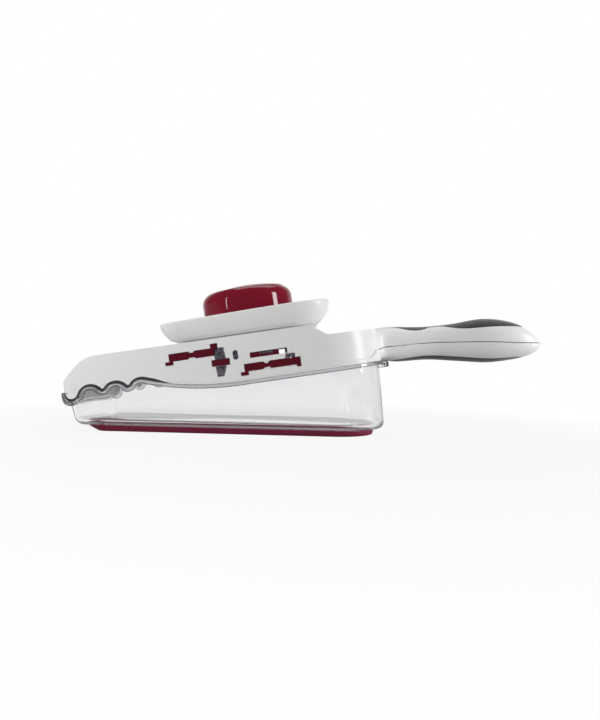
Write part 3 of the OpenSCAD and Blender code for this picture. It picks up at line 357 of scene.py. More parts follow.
lets_by = add(tree, "ShaderNodeMath", {"operation": "MAXIMUM"},
              {0: path.outputs["Is Shadow Ray"], 1: path.outputs["Is Diffuse Ray"]})
clear = add(tree, "ShaderNodeBsdfTransparent", {"Color": linear("f7f7f8")})
whole_look = add(tree, "ShaderNodeMixShader", links={
    0: lets_by.outputs[0], 1: wall_look.outputs[0], 2: clear.outputs[0]})
add(tree, "ShaderNodeOutputMaterial", links={"Surface": whole_look.outputs[0]})

tilt = math.radians(10)                 # the slicer's slope
rim_height = 39                         # the rim's middle over the table
draft = math.tan(math.radians(3.5))     # how fast the tub's wall widens upwards
nose_reach = 125.8                      # the slicer's nose and rear wall from its middle
tail_reach = 108.5
body_half = 55
glass_wall = 2.5
glass_floor = 3
foot_round = 5.5
rim_t = 2.8
rim_out = 3                             # how far the rim stands out past the slicer's sides


def on_slope(points):
    """Points of the slicer's own frame, turned by the slope round the Y axis and set on the
    middle of the container's rim."""
    x, y, z = points[..., 0], points[..., 1], points[..., 2]
    return np.stack([x * math.cos(tilt) - z * math.sin(tilt) + foot_x, y,
                     rim_height + x * math.sin(tilt) + z * math.cos(tilt)], axis=-1)


def arc(middle, radius, start, end, steps=16):
    """Points along an arc, with its angles in degrees."""
    turn = np.radians(np.linspace(start, end, steps))
    return np.stack([middle[0] + radius * np.cos(turn), middle[1] + radius * np.sin(turn)], axis=1)


def swing(start, end, radius, steps=14):
    """Two arcs that join two level points and meet with one slope. Both turn by twice the
    arctangent of rise over run, and their radii add up to the run over that turn's sine: the
    first has the given radius and the second takes what is left."""
    run, rise = end[0] - start[0], end[1] - start[1]
    turn = 2 * math.atan(abs(rise / run))
    rest = abs(run) / math.sin(turn) - radius
    t = np.linspace(0, turn, steps)
    first = np.stack([start[0] + radius * np.sin(t),
                      start[1] + np.sign(rise) * radius * (1 - np.cos(t))], axis=1)
    last = np.stack([end[0] - rest * np.sin(t),
                     end[1] - np.sign(rise) * rest * (1 - np.cos(t))], axis=1)
    return np.vstack([first, last[-2::-1]])


# The wavy edge in side view: a hook at the nose, two scallops and a long rise that falls again
# to the middle of the rim
hook_x = 7.1 - nose_reach               # the hook's lowest point
hook_z = 2.8
hook_r = 6.6
crest_x = hook_x + 13.2                 # the first scallop's highest point
crest_z = 11.5
crest_r = 8.25
point_z = 7                             # the points between the scallops
point_r = 3
pitch = 18
wave = [np.array([[hook_x - hook_r, hook_z + hook_r + 0.6]]),
        arc((hook_x, hook_z + hook_r), hook_r, 180, 260),
        swing((hook_x, hook_z), (crest_x, crest_z), hook_r)]
for k in range(2):
    crest = (crest_x + k * pitch, crest_z)
    point = (crest_x + (k + 0.5) * pitch, point_z)
    next_crest = (crest_x + (k + 1) * pitch, crest_z)
    wave.append(swing(crest, point, crest_r))
    wave.append(swing(point, next_crest, point_r))
wave.append(swing(next_crest, (0, 0), crest_r, 24))
wave = np.vstack(wave)
# The rim's underside follows it at the rim's thickness, square to the line
step = np.gradient(wave, axis=0)
downward = np.stack([step[:, 1], -step[:, 0]], axis=1) / np.linalg.norm(step, axis=1, keepdims=True)
under = wave + rim_t * downward


def height(line, x):
    """Height of a side-view line at given places; past its ends it runs on level."""
    return np.interp(x, line[:, 0], line[:, 1])


def closed_ends(rings):
    """Adds the middle of the first and of the last ring, as poles that close the surface."""
    first, last = (np.broadcast_to(rings[k].mean(0), rings[k].shape)[None] for k in (0, -1))
    return np.concatenate([first, rings, last])


# Outlines of the wall's outer face where it meets the rim, and of the rim's edge. Their points
# match one to one: so many on each corner, and so many on each straight side, where the wavy
# edge needs them.
on_corner = 24
on_side = 200
glass_half = body_half - 2.5
glass, heading = ring_of(3.1 - nose_reach, tail_reach - 1, glass_half, 9, 42.5, on_corner, on_side)
edge, _ = ring_of(-nose_reach - 2.15, tail_reach + rim_out, body_half + rim_out, 11.3, 48,
                  on_corner, on_side)


def at_level(high, inset):
    """A level ring of the drafted wall at a height over the table. The wall widens by draft
    times z on the slope's own axes, so z is solved from height = rim + x sin + z cos."""
    x = glass[:, 0] - inset * heading[:, 0]
    y = glass[:, 1] - inset * heading[:, 1]
    lean = math.cos(tilt) + draft * heading[:, 0] * math.sin(tilt)
    z = (high - rim_height - x * math.sin(tilt)) / lean
    return np.stack([x + draft * z * heading[:, 0], y + draft * z * heading[:, 1], z], axis=-1)


def foot_rings(floor, radius, inset):
    """Rings round a rounded foot, from the floor up to the wall: a quarter circle whose
    height is r (1 - sin) and whose inset is r (1 - cos) of the turn."""
    turn = np.radians(np.linspace(90, 0, 9))
    return np.array([at_level(floor + radius * (1 - math.sin(a)), inset + radius * (1 - math.cos(a)))
                     for a in turn])


def rim_rings(share, line):
    """Rings across the rim, from the inside of the wall (0) to the rim's edge (1), straight
    between the two outlines seen from above and as high as a side-view line."""
    share = np.array(share)[:, None, None]
    start = (glass - glass_wall * heading)[None]
    flat = start + (edge[None] - start) * share
    return np.concatenate([flat, height(line, flat[..., 0])[..., None]], axis=-1)


def wall_rings(low, high, steps=14):
    """Rings up a wall, evenly between two given ones."""
    share = np.linspace(0, 1, steps)[1:-1, None, None]
    return low + (high - low) * share


# Under the floor a groove takes the base ring's tongue
groove_play = 0.1
groove_h = 1.6
outline, way = ring_of(-base_reach, base_reach, ring_half, ring_nose_round, ring_tail_round,
                       on_corner, on_side)
across = np.array([[tongue_out + groove_play, ring_h], [tongue_out + groove_play, ring_h + groove_h],
                   [tongue_in - groove_play, ring_h + groove_h], [tongue_in - groove_play, ring_h]])
groove = np.stack([outline[:, 0] - across[:, :1] * way[:, 0] + foot_x,
                   outline[:, 1] - across[:, :1] * way[:, 1],
                   across[:, 1:] + 0 * outline[:, 0]], axis=-1)
# From the floor up the outside, out under the rim, round its edge, back over it and down inside
outer = foot_rings(ring_h, foot_round, 0)
inner = foot_rings(ring_h + glass_floor, foot_round - glass_wall, glass_wall)[::-1]
root = glass_wall / (glass_wall + body_half - glass_half + rim_out)
below = rim_rings(np.linspace(root + 0.04, 0.93, 14), under)
edge_low = rim_rings([0.97, 0.992, 1.0], under)
edge_low[:, :, 2] += np.array([0.08, 0.3, 0.7])[:, None]
edge_top = rim_rings([1.0, 0.992, 0.97], wave)
edge_top[:, :, 2] -= np.array([0.7, 0.3, 0.08])[:, None]
above = rim_rings(np.linspace(0.93, 0.06, 26), wave)
lip = rim_rings([0.02, 0.0], wave)
lip[:, :, 2] -= np.array([0.12, 0.6])[:, None]
sheets = [outer, wall_rings(outer[-1], below[0]), below, edge_low, edge_top, above, lip,
          wall_rings(lip[-1], inner[0]), inner]
tub = closed_ends(np.concatenate([groove] + [on_slope(rings) for rings in sheets]))
# The rim's edge rows are marked for the material's painted grey shade; the first ring is the pole in
# the floor
to_edge = 1 + len(groove) + sum(len(rings) for rings in sheets[:3])
marked = np.zeros(tub.shape[:2])
marked[to_edge:to_edge + len(edge_low) + len(edge_top)] = 1
# The thumb tab: a bent plate, one ring across it for each place along its width. Seen from
# above its corners are arcs.
tab_half = 15
tab_out = 7.8
tab_round = 8
across = tab_half * np.sin(np.linspace(-np.pi / 2, np.pi / 2, 40))
in_corner = np.clip(np.abs(across) - (tab_half - tab_round), 0, tab_round - 0.01)
reach = tail_reach + tab_out - tab_round + np.sqrt(tab_round ** 2 - in_corner ** 2)
bend = eased([(-9.2, -0.3, 0.2), (0, -0.3, 3), (0, -6, 1), (-2.2, -6, 0.8), (-2.2, -2.8, 1.4),
              (-9.2, -2.8, 0.2)], 8)
tab = on_slope(closed_ends(np.stack([reach[:, None] + bend[:, 0], across[:, None] + 0 * bend[:, 0],
                                     bend[:, 1] + 0 * across[:, None]], axis=-1)))
# Painted shade for every point: on the rim's edge rows, none on the tab
marks = np.concatenate([marked.ravel(), np.zeros(tab.shape[0] * tab.shape[1])])
solid("catch_tub", [(tub, False), (tab, False)], "container", clear_san, marks)


# ---------- slicer body ----------
# One white ABS injection moulding: side walls, landing deck, rear deck and the crown of the
# handle. The handle's part of the copy is sunk under the handle's own skin, made further down.

crease = math.radians(32)               # edges that turn more than this stay crisp


def dressed(node, name, finish, radius=0, moved=None, chosen=None):
    """A copy of a node's surface: merged, its flat faces joined, its curves shaded smooth and
    its crisp edges rounded to a radius in millimetres. Where moved is given, it shifts the
    points; where chosen is given, it says which points' edges are rounded. Both take metres."""
    mesh = nodes[node].data.copy()
    mesh.name = name
    form = bmesh.new()
    form.from_mesh(mesh)
    bmesh.ops.remove_doubles(form, verts=form.verts, dist=2e-6)
    bmesh.ops.dissolve_limit(form, angle_limit=math.radians(0.4), verts=form.verts, edges=form.edges)
    form.to_mesh(mesh)
    form.free()
    if "custom_normal" in mesh.attributes:
        mesh.attributes.remove(mesh.attributes["custom_normal"])
    points = np.empty(len(mesh.vertices) * 3)
    mesh.vertices.foreach_get("co", points)
    if moved:
        points = moved(points.reshape(-1, 3)).ravel()
        mesh.vertices.foreach_set("co", points)
    mesh.shade_smooth()
    mesh.set_sharp_from_angle(angle=crease)
    if chosen:
        ends = np.empty(len(mesh.edges) * 2, int)
        mesh.edges.foreach_get("vertices", ends)
        crisp = np.zeros(len(mesh.edges), bool)
        mesh.attributes["sharp_edge"].data.foreach_get("value", crisp)
        both = chosen(points.reshape(-1, 3))[ends].reshape(-1, 2).all(axis=1)
        weight = mesh.attributes.new("bevel_weight_edge", "FLOAT", "EDGE")
        weight.data.foreach_set("value", (both & crisp).astype(float))
    piece = bpy.data.objects.new(name, mesh)
    scene.collection.objects.link(piece)
    if radius:
        rounding = piece.modifiers.new("rounded_edges", "BEVEL")
        rounding.width = radius / 1000
        rounding.segments = 2
        rounding.limit_method = "WEIGHT" if chosen else "ANGLE"
        rounding.angle_limit = crease
        rounding.use_clamp_overlap = False
        rounding.harden_normals = True
    finished(piece, node, finish)
    return piece


tail_round = 45                         # the rear corners seen from above
corner_x = tail_reach - tail_round      # where those corners start, along the body and across
corner_y = body_half - tail_round
handle_len = 135.7


def at(share):
    """Place along the handle, as a share of its length from the rear wall."""
    return tail_reach + share * handle_len


def wall_at(y):
    """Where the rear wall stands at a distance from the middle: an arc with a flat middle."""
    beside = np.clip(np.abs(y) - corner_y, 0, tail_round)
    return corner_x + np.sqrt(tail_round ** 2 - beside ** 2)


def stands_out(x, y):
    """How far a place stands out from the side walls and, behind them, from the rear wall:
    its distance from the corner's middle, less the corner's radius."""
    beside = np.clip(np.abs(y) - corner_y, 0, None)
    corner = np.hypot(x - corner_x, beside) - tail_round
    return np.where(x < corner_x, np.abs(y) - body_half, corner)


def off_slope(points):
    """Points in metres as the slicer's own x, y and z in millimetres: on_slope undone."""
    x = points[:, 0] * 1000 - foot_x
    y = points[:, 1] * 1000
    z = points[:, 2] * 1000 - rim_height
    return x * math.cos(tilt) + z * math.sin(tilt), y, z * math.cos(tilt) - x * math.sin(tilt)


# Sections of the handle, from its root in the rear wall to its tip: place, half width, top,
# parting plane, bottom, squareness
sections = np.array([
    [at(0) - 9, 37, 24.4, 2.4, 0.4, 10],
    [at(0) - 5.5, 30.5, 24.4, 5, 0.6, 9],
    [at(0) - 3.5, 27.4, 24.5, 7.2, 0.6, 8],
    [at(0) - 2, 24.7, 24.8, 8.1, 0.6, 6.5],
    [at(0), 22.4, 25.2, 8.8, 0.6, 5],
    [at(0.04), 19.2, 25.8, 9.5, -0.6, 3.4],
    [at(0.12), 16.8, 25.1, 8.9, -3.4, 2.6],
    [at(0.3), 14.4, 21.7, 7.9, -5.3, 2.3],
    [at(0.47), 16.2, 20.7, 5.2, -9.7, 2.2],
    [at(0.65), 18.5, 21.4, 2, -14.5, 2.2],
    [at(0.78), 17.6, 18.0, -1.2, -15.3, 2.2],
    [at(0.885), 14.2, 11.6, -3.4, -14.4, 2.2],
    [at(0.958), 9, 2.2, -4.6, -11.5, 2.2],
    [at(0.9996), 1.5, -5.1, -6, -6.9, 2]])


def through(rows, steps):
    """Catmull-Rom curve through rows of values, with some steps between two rows: a cubic
    whose slope at each row is half the way from the row before to the row after."""
    ends = np.vstack([rows[:1], rows, rows[-1:]])
    a, b, c, d = (ends[k:k + len(rows) - 1, None] for k in range(4))
    t = np.linspace(0, 1, steps, endpoint=False)[None, :, None]
    curve = 0.5 * (2 * b + (c - a) * t + (2 * a - 5 * b + 4 * c - d) * t ** 2
                   + (3 * b - a - 3 * c + d) * t ** 3)
    return np.vstack([curve.reshape(-1, rows.shape[1]), rows[-1:]])


spine = through(sections, 12)


def spine_at(x):
    """The handle's section values at given places."""
    return np.stack([np.interp(x, spine[:, 0], spine[:, k]) for k in range(6)], axis=1)


# The raised band along the lower edge: its height, how far it stands out, and what is added
band_h = 3.3
band_out = 0.6
band_more = 0.4
fade_x = -60                            # the addition fades in from here, along the strip's end
fade_run = 30


def under_the_crown(points):
    """Shrinks what stands out behind the rear wall towards its own middle line, by 0.86 across
    and 0.8 in height, and pushes the raised band outwards, square to the wall."""
    x, y, z = off_slope(points)
    row = spine_at(x)
    out = stands_out(x, y)
    behind = (x > corner_x) & (out > band_out + 0.3)
    middle = (row[:, 2] + row[:, 3]) / 2
    on_band = (np.abs(out - band_out) < 0.2) & (z < band_h + 0.2)
    push = band_more * on_band * np.clip((x - fade_x) / fade_run, 0, 1)
    turn = np.arctan2(np.clip(np.abs(y) - corner_y, 0, None), np.clip(x - corner_x, 1e-6, None))
    x = x + push * np.cos(turn)
    y = y + push * np.sin(turn) * np.sign(y)
    sunk = np.stack([np.where(behind, np.minimum(x, at(0.97)), x),
                     np.where(behind, y * 0.86, y),
                     np.where(behind, middle + (z - middle) * 0.8, z)], axis=1)
    return on_slope(sunk) / 1000


def on_the_band(points):
    """Points of the raised band, before or after it is pushed out."""
    x, y, z = off_slope(points)
    out = stands_out(x, y)
    return (out > band_out - 0.1) & (out < band_out + band_more + 0.1) & (z < band_h + 0.2)


# White ABS from a satin mould: a soft, broad highlight and hardly any waves
white_abs = moulded("white_moulded_abs", "e6e6e5", 0.3, 0.05)
dressed("slicer_body", "body_shell", white_abs, 0.35, under_the_crown, on_the_band)


# ---------- soft strip ----------
# A strip of black thermoplastic elastomer, moulded onto the wavy edge and round the nose hook
# so that the slicer holds on a bowl's rim. Its back is bonded to the body's white plastic.

# Soft elastomer from an eroded mould: a dull, slightly milky black with fine pits, 0.9 mm apart
# so that they show.
soft_black, tree = new_material("black_soft_elastomer")
place = add(tree, "ShaderNodeTexCoord")
grain = add(tree, "ShaderNodeTexNoise", {"Scale": 1000 / 0.9, "Detail": 3.0},
            {"Vector": place.outputs["Object"]})
pits = add(tree, "ShaderNodeBump", {"Strength": 0.35, "Distance": 0.0002}, {"Height": grain.outputs[0]})
tone = add(tree, "ShaderNodeMix", {"data_type": "RGBA", 6: linear("2c2c2e"), 7: linear("3c3c3e")},
           {0: grain.outputs[0]})
shader = add(tree, "ShaderNodeBsdfPrincipled",
             {"Roughness": 0.55, "IOR": 1.5, "Sheen Weight": 0.4, "Sheen Roughness": 0.4},
             {"Base Color": tone.outputs[2], "Normal": pits.outputs[0]})
add(tree, "ShaderNodeOutputMaterial", links={"Surface": shader.outputs[0]})

strip = dressed("edge_grip", "bowl_grip", soft_black)
# The faces that look inwards are white: backwards across the nose, and to the middle at the sides
strip.data.materials.append(white_abs)
middle = np.empty(len(strip.data.polygons) * 3)
outward = np.empty(len(strip.data.polygons) * 3)
strip.data.polygons.foreach_get("center", middle)
strip.data.polygons.foreach_get("normal", outward)
middle = middle.reshape(-1, 3) * 1000
outward = outward.reshape(-1, 3)
across_nose = np.abs(middle[:, 1]) < body_half - 6
back = np.where(across_nose, outward[:, 0] > 0.3, outward[:, 1] * middle[:, 1] < -10)
strip.data.polygons.foreach_set("material_index", back.astype(int))


# ---------- handle ----------
# Two white ABS half shells screwed together, with soft elastomer pads moulded onto the top and
# the underside. Where two of them meet, both edges are rounded and leave a fine groove.

grip_edge = 0.8                         # the top pad's depth where it is shallowest
seam_gap = 0.25                         # half the gap between the two shells
top_from = 0.09                         # the pads' ends, as shares of the handle's length
top_to = 0.9
low_from = 0.07
low_to = 0.87


def pad(x, middle, half, deep):
    """A pad's depth: a parabola that is deepest at its middle and runs out to both sides."""
    return deep * np.clip(1 - ((x - at(middle)) / (half * handle_len)) ** 2, 0, None)


def run_out(x, start, end, over=5):
    """1 along a pad, falling to 0 at its two ends as a quarter circle."""
    inside = np.clip(np.minimum(x - at(start), at(end) - x) / over, 0, 1)
    return np.sqrt(1 - (1 - inside) ** 2)


def top_depth(x):
    """Depth of the soft top grip under the handle's crown line: a thumb pad and a palm pad."""
    deep = np.maximum(pad(x, 0.23, 0.1, 2.6), pad(x, 0.655, 0.25, 6.5))
    return (grip_edge + deep) * run_out(x, top_from, top_to)


def low_depth(x):
    """Depth of the soft grip over the handle's lower line: one minus a fourth power, which
    stays nearly level along the middle."""
    level = np.clip(1 - ((x - at(0.47)) / (0.42 * handle_len)) ** 4, 0, None)
    return 3.1 * level * run_out(x, low_from, low_to)


def skin_line(x, side, start, end, roll_start, roll_end, count=48):
    """Superellipse sections between two turns, given as shares of the height: the half width
    goes with cos^(2/n) and the height with sin^(2/n) of the turn. Both ends of each line are
    rolled inwards: a point at a distance d from the end sinks by r - sqrt(r^2 - (r - d)^2)."""
    row = spine_at(x)
    n = row[:, 5:6]
    high = row[:, 2:3] - row[:, 3:4] if side > 0 else row[:, 4:5] - row[:, 3:4]
    first = np.arcsin(np.clip(start, 0, 1) ** (n[:, 0] / 2))[:, None]
    last = np.arcsin(np.clip(np.minimum(end, 2 - end), 0, 1) ** (n[:, 0] / 2))[:, None]
    last = np.where(end[:, None] > 1, np.pi - last, last)
    turn = first + (last - first) * (1 - np.cos(np.linspace(0, np.pi, count))) / 2
    y = row[:, 1:2] * np.sign(np.cos(turn)) * np.abs(np.cos(turn)) ** (2 / n)
    z = row[:, 3:4] + high * np.abs(np.sin(turn)) ** (2 / n)
    step = np.stack([np.gradient(y, axis=1), np.gradient(z, axis=1)], axis=-1)
    length = np.linalg.norm(step, axis=-1)
    walked = np.cumsum(length, axis=1) - length[:, :1]
    sink = 0
    for roll, far in ((roll_start, walked), (roll_end, walked[:, -1:] - walked)):
        r = roll[:, None]
        sink = sink + r - np.sqrt(np.clip(r ** 2 - np.clip(r - far, 0, None) ** 2, 0, None))
    inward = side * np.stack([-step[..., 1], step[..., 0]], axis=-1)
    inward = inward / np.maximum(length, 1e-6)[..., None]
    return np.stack([x[:, None] + 0 * y, y + inward[..., 0] * sink, z + inward[..., 1] * sink], axis=-1)


def handle_shell(side, depth):
    """Half a handle: both flanks from the parting plane to the soft pad, as closed rings. Extra
    rings stand where a pad's end rounds off, and the root is cut off inside the rear wall."""
    pad_ends = at(np.array([0.072, 0.075, 0.08, 0.092, 0.095, 0.1, 0.865, 0.868, 0.89, 0.895]))
    x = np.unique(np.concatenate([spine[::2, 0], pad_ends]))
    row = spine_at(x)
    high = row[:, 2] - row[:, 3] if side > 0 else row[:, 3] - row[:, 4]
    share = 1 - depth(x) / np.maximum(high, 0.1)
    roll = 0.4 * np.clip(high / 3, 0, 1)
    seam = 0.4 * np.clip(depth(x) / 0.5, 0, 1)
    flank = skin_line(x, side, 0 * x, share, roll, seam)
    other = flank[:, ::-1] * np.array([1, -1, 1])
    rings = np.concatenate([flank, other], axis=1)
    rings[..., 2] += side * seam_gap * np.clip(1 - np.abs(rings[..., 2] - row[:, 3:4]) / 3, 0, 1)
    rings[..., 0] = np.maximum(rings[..., 0], wall_at(rings[..., 1]) - 1.2)
    return on_slope(closed_ends(rings))


def soft_pad(side, depth, start, end):
    """A soft pad: the skin between the two flanks, closed by a flat face underneath."""
    x = at(start + (end - start) * (1 - np.cos(np.linspace(0, np.pi, 110))) / 2)
    row = spine_at(x)
    high = row[:, 2] - row[:, 3] if side > 0 else row[:, 3] - row[:, 4]
    share = 1 - depth(x) / high
    roll = 0.35 * np.clip(depth(x) / 0.8, 0, 1)
    return on_slope(closed_ends(skin_line(x, side, share, 2 - share, roll, roll, 72)))


solid("handle_crown", [(handle_shell(1, top_depth), False)], "slicer_body", white_abs)
# At its root the lower shell runs out along the rear corners as a raised collar, whose upper
# line rises towards the handle
turn = np.radians(np.linspace(16, 58, 40))[:, None]
collar_top = band_h + 5.3 * np.clip((np.cos(turn) - 0.74) / 0.16, 0, 1) ** 1.4
# Across it: how far each of eight points stands out from the wall, and how high it lies
across = np.array([-0.6, 0.3, 0.9, 1.05, 1.05, 1.05, 0.75, -0.6])
foot_high = np.array([0.3, 0.3, 0.3, 0.3, 0.5])
brow_high = np.array([-0.4, 0, 0])
high = np.hstack([foot_high + 0 * turn, brow_high + collar_top])
collars = []
for side in (-1, 1):
    reach = tail_round + across
    collar = np.stack([corner_x + reach * np.cos(turn),
                       side * (corner_y + reach * np.sin(turn)), high], axis=-1)
    collars.append((on_slope(closed_ends(collar)), False))
solid("handle_underside", [(handle_shell(-1, low_depth), False)] + collars, "handle_lower_shell",
      white_abs)
solid("palm_pads", [(soft_pad(1, top_depth, top_from, top_to), False)], "handle_top_grip", soft_black)
solid("finger_pad", [(soft_pad(-1, low_depth, low_from, low_to), False)], "handle_bottom_grip",
      soft_black)


# ---------- handle screws ----------
# Two self-tapping screws of stainless steel. They come up through recesses in the handle's lower
# shell, bite in the crown above it and hold the two together.

# Ground stainless steel: fine lines 0.3 mm apart run across the slicer and blur its reflections
# endways, over slow bands 2.5 mm wide, where the sheet is lighter or darker.
line_run = 30                           # how far a line or a band runs, in millimetres
ground_steel, tree = new_material("ground_stainless_steel")
place = add(tree, "ShaderNodeTexCoord")
lines = add(tree, "ShaderNodeMapping", {"Scale": (1000 / 0.3, 1000 / line_run, 1000 / 0.3)},
            {"Vector": place.outputs["Object"]})
grind = add(tree, "ShaderNodeTexNoise", {"Scale": 1.0, "Detail": 2.0}, {"Vector": lines.outputs[0]})
sheen = add(tree, "ShaderNodeMapRange", {"To Min": 0.2, "To Max": 0.36}, {"Value": grind.outputs[0]})
bands = add(tree, "ShaderNodeMapping", {"Scale": (1000 / 2.5, 1000 / line_run, 1000 / 2.5)},
            {"Vector": place.outputs["Object"]})
cloud = add(tree, "ShaderNodeTexNoise", {"Scale": 1.0, "Detail": 3.0}, {"Vector": bands.outputs[0]})
depth = add(tree, "ShaderNodeMapRange", {"From Min": 0.35, "From Max": 0.65},
            {"Value": cloud.outputs[0]})
# Both tones carry a purple cast: painted reflection of the burgundy parts round the steel
tone = add(tree, "ShaderNodeMix", {"data_type": "RGBA", 6: linear("857a8e"), 7: linear("dcd2e4")},
           {0: depth.outputs[0]})
marks = add(tree, "ShaderNodeBump", {"Strength": 0.1, "Distance": 0.00003},
            {"Height": grind.outputs[0]})
shader = add(tree, "ShaderNodeBsdfPrincipled", {"Metallic": 1.0},
             {"Base Color": tone.outputs[2], "Roughness": sheen.outputs[0], "Normal": marks.outputs[0]})
add(tree, "ShaderNodeOutputMaterial", links={"Surface": shader.outputs[0]})

dressed("handle_screws", "screws", ground_steel)


# ---------- infeed ramp ----------
# A pressed plate of stainless steel with folded flanges and drawn ribs. It turns on a rod through
# both side walls at its rear, and two short rods at its front run in the walls' slots.

dressed("infeed_ramp", "ramp_plate", ground_steel)
dressed("ramp_hinge_pin", "hinge_rod", ground_steel)
dressed("ramp_guide_pins", "guide_rods", ground_steel)


# ---------- blades ----------
# The straight blade in use and the crinkle blade kept as a spare: ground steel strips, each
# clamped in an ABS holder that slides into the body through its near wall.

# Burgundy ABS from a polished mould, darkened as painted shade for inserts that sit in the body's
# slots; nearly without waves on pieces this narrow
shaded_burgundy_abs = moulded("burgundy_moulded_abs_painted_shade", "5a0f1f", 0.08, 0.05)
dressed("straight_cartridge", "blade_holder", shaded_burgundy_abs)
dressed("straight_blade", "blade", ground_steel)
dressed("crinkle_cartridge", "wavy_blade_holder", shaded_burgundy_abs)
dressed("crinkle_blade", "wavy_blade", ground_steel)


# ---------- julienne comb ----------
# A burgundy ABS bar with rows of ground steel teeth moulded in: wide ones above it and narrow
# ones below it. It is turned over and slid back in to change the width of the sticks.

dressed("comb_carrier", "comb_bar", shaded_burgundy_abs)
dressed("coarse_teeth", "wide_teeth", ground_steel)
dressed("fine_teeth", "narrow_teeth", ground_steel)


# ---------- grater ----------
# A burgundy ABS frame with a pull-out grip, stored under the ramp. A pierced steel plate is
# snapped into it, and a steel inlay into its grip.

dressed("grater_frame", "rasp_frame", shaded_burgundy_abs)
dressed("grater_plate", "rasp", ground_steel)


# ---------- food guard ----------
# A white ABS dish that slides along the slicer's rails on two runners. Its walls flare out and
# end in a full-round rim; the food well in its middle guides the pusher.

guard_place = np.array([11.3, 0, 33.4])
tray_t = 2.3
tray_nose = 53.7
tray_tail = 49.7
nose_lean = 9.6                         # how far the walls lean out at the nose, tail and sides
tail_lean = 11.8
side_lean = 5
well_r = 30.5
well_h = 32.3
well_lip = 4.5                          # the well's upper edge turns in by this much
runner_t = 2.4
runner_in = 3.35                        # from the body's outer side in to a runner's outer face

outline, heading = ring_of(-tray_nose, tray_tail, body_half - 0.4, 8, 18, 20, 12)
around = outline / np.linalg.norm(outline, axis=1, keepdims=True)
# The rim rises by 2.5 mm from the nose to the tail
rim_high = 15 + 2.5 * (outline[:, 0] + tray_nose) / (tray_nose + tray_tail)
flare = np.where(heading[:, 0] < 0, nose_lean, tail_lean) * heading[:, 0]
high = np.linspace(0, 1, 22)[:, None] ** 1.3


def dish_wall(high, inset):
    """Rings up the dish's wall, for shares of its height: it leans out by the sine of a
    quarter turn times the height, to the power 0.75."""
    out = np.sin(np.pi / 2 * np.clip(high, 0, 1)) ** 0.75
    x = outline[:, 0] - inset * heading[:, 0] + out * flare
    y = outline[:, 1] - inset * heading[:, 1] + out * side_lean * heading[:, 1]
    return np.stack([x, y, high * rim_high], axis=-1)


def well_rings(profile):
    """Rings round the well: each profile point (radius, height) in the outline's directions."""
    profile = np.array(profile)
    flat = np.broadcast_to(profile[:, 1:, None], (len(profile), len(around), 1))
    return np.concatenate([profile[:, :1, None] * around, flat], axis=-1)


outer = dish_wall(high, 0)
# Its foot is set back, which leaves a shadow line over the rails: inset and height of five rings
foot_in = np.array([2.4, 2.4, 0.8, 0.2, 0])[:, None]
foot_up = np.array([0, 0.6, 0.62, 0.8, 1.3])[:, None]
outer[:5, :, :2] = dish_wall(0 * foot_in, foot_in)[..., :2]
outer[:5, :, 2] = foot_up
inner = dish_wall(high, tray_t)[::-1]
inner[..., 2] = np.maximum(inner[..., 2], tray_t)
# Both walls stop under the rim, which is half a circle of the wall's thickness
outer[..., 2] = np.minimum(outer[..., 2], rim_high - tray_t / 2)
inner[..., 2] = np.minimum(inner[..., 2], rim_high - tray_t / 2)
turn = np.radians(np.linspace(0, 180, 9))[1:-1, None]
top = dish_wall(np.ones((1, 1)), tray_t / 2)[0]
rim = top + np.stack([np.cos(turn) * tray_t / 2 * heading[:, 0],
                      np.cos(turn) * tray_t / 2 * heading[:, 1],
                      (np.sin(turn) - 1) * tray_t / 2 + 0 * heading[:, 0]], axis=-1)
well = well_rings(eased([(well_r + tray_t, tray_t, 1.2), (well_r + tray_t, well_h, 0.6),
                         (well_r - well_lip, well_h, 0.6), (well_r - well_lip, well_h - 1, 0.3),
                         (well_r, well_h - 1, 0.3), (well_r, 0, 0.5)]))
dish = on_slope(np.concatenate([outer, rim, inner, well]) + guard_place)
# The runners hang under the dish, inside the side walls
across = eased([(-runner_t / 2, -2.6, 0.4), (runner_t / 2, -2.6, 0.4), (runner_t / 2, 0.6, 0.1),
                (-runner_t / 2, 0.6, 0.1)], 4)
along = np.array([2 - tray_nose, tray_tail - 1])[:, None]
runners = []
for side in (-1, 1):
    beside = side * (body_half - runner_in - runner_t / 2)
    bar = np.stack([along + 0 * across[:, 0], across[:, 0] + beside + 0 * along,
                    across[:, 1] + 0 * along], axis=-1)
    runners.append((on_slope(closed_ends(bar) + guard_place), False))
solid("guard_dish", [(dish, True)] + runners, "guard_tray", white_abs)


# ---------- knob ----------
# A burgundy ABS knob, moulded hollow so that it runs down outside the food well. A domed palm
# cap is snapped into its top and covers the screw that holds the pusher's stem.

def turned(profile, steps=128):
    """Surface of revolution: each profile point (radius, height) swept round the Z axis."""
    turn = np.radians(np.arange(steps) * 360 / steps)
    r, z = profile[:, :1], profile[:, 1:]
    return np.stack([r * np.cos(turn), r * np.sin(turn), z + 0 * turn], axis=-1)


# Burgundy ABS from a polished mould: a warm dark red with sharp window lights in its gloss
burgundy_abs = moulded("burgundy_moulded_abs", "7a1226", 0.06, 0.1)

knob_r = 35.9
knob_h = 32
knob_wall = 2.6
ceiling = 28.1                          # the knob's hollow is this high
shoulder_r = 9
cap_seat = 1.5                          # the cap's seat lies this far under the knob's top
knob_place = guard_place + np.array([0, 0, tray_t + 2.4])

fall = np.radians(np.linspace(0, 65, 24))[:, None]
shoulder = np.hstack([knob_r - shoulder_r + shoulder_r * np.cos(fall),
                      knob_h - shoulder_r * math.sin(fall[-1, 0]) + shoulder_r * np.sin(fall)])
cap_r = shoulder[-1, 0] - 0.2
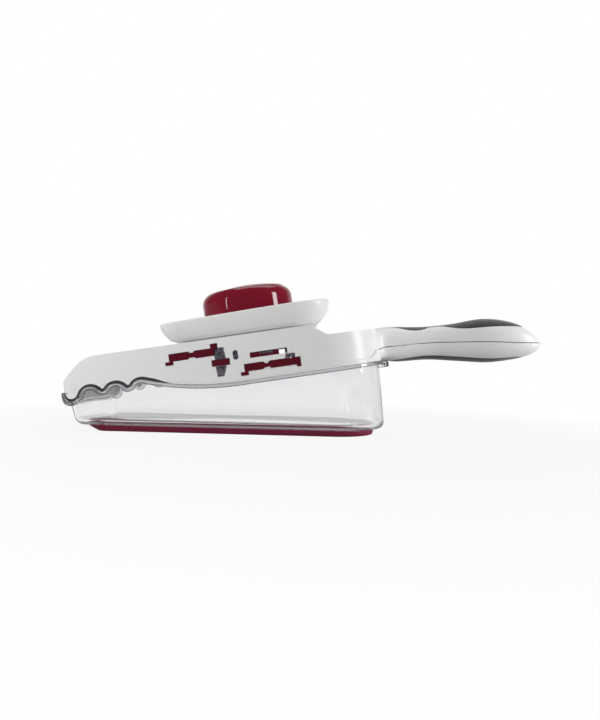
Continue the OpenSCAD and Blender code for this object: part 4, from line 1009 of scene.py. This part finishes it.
# From the hollow's ceiling down the inside and round the foot, then over the shoulder and the
# brow to the cap's seat. A corner that is left out of a line only gave it its direction.
wall = eased([(knob_r - knob_wall, ceiling, 0.5), (knob_r - knob_wall, 0, 0.5), (knob_r, 0, 0.7),
              (knob_r, 20, 0)], 6)[:-6]
brow = eased([(cap_r + 0.4, knob_h, 0), (cap_r + 0.1, knob_h - 0.06, 0.2),
              (cap_r, knob_h - cap_seat, 0), (0, knob_h - cap_seat, 0)], 4)[4:8]
seat = [[cap_r, knob_h - cap_seat], [0, knob_h - cap_seat]]
knob = turned(np.vstack([[[0, ceiling]], wall, shoulder[:-1], brow, seat])) + knob_place
solid("palm_knob", [(on_slope(knob), False)], "knob", burgundy_abs)

# The cap is part of a sphere over its radius and rise, whose pole leans back by two degrees. Its
# edge is rounded off.
cap_rise = 4.69
cap_t = 1.2
cap_lean = math.radians(2)
cap_edge = 0.5
dome = (cap_r ** 2 + cap_rise ** 2) / (2 * cap_rise)
drop = cap_t + cap_rise - dome
centre_x = -drop * math.sin(cap_lean)
centre_z = drop * math.cos(cap_lean)
radii = (cap_r - 0.15) * np.sin(np.linspace(0, np.pi / 2, 40)) ** 0.9
disc = turned(np.stack([radii, 0 * radii], axis=1))
disc[..., 2] = centre_z + np.sqrt(dome ** 2 - (disc[..., 0] - centre_x) ** 2 - disc[..., 1] ** 2)
near = np.clip(cap_edge - (radii[-1] - radii), 0, cap_edge)[:, None]
disc[..., 2] -= cap_edge - np.sqrt(cap_edge ** 2 - near ** 2)
under_cap = turned(np.array([[radii[-1], 0], [0, 0]]))
cap = np.concatenate([disc, under_cap]) + knob_place + np.array([0, 0, knob_h - cap_seat])
solid("palm_cap", [(on_slope(cap), False)], "knob_cap", burgundy_abs)


# ---------- pusher ----------
# A white ABS plate on a stem, guided by the food well. Steel spikes moulded into it hold the
# food, and one screw from above ties its stem to the knob.

dressed("food_pusher", "pusher", white_abs, 0.4)
dressed("pusher_spikes", "spikes", ground_steel)
dressed("plunger_screw", "stem_screw", ground_steel)
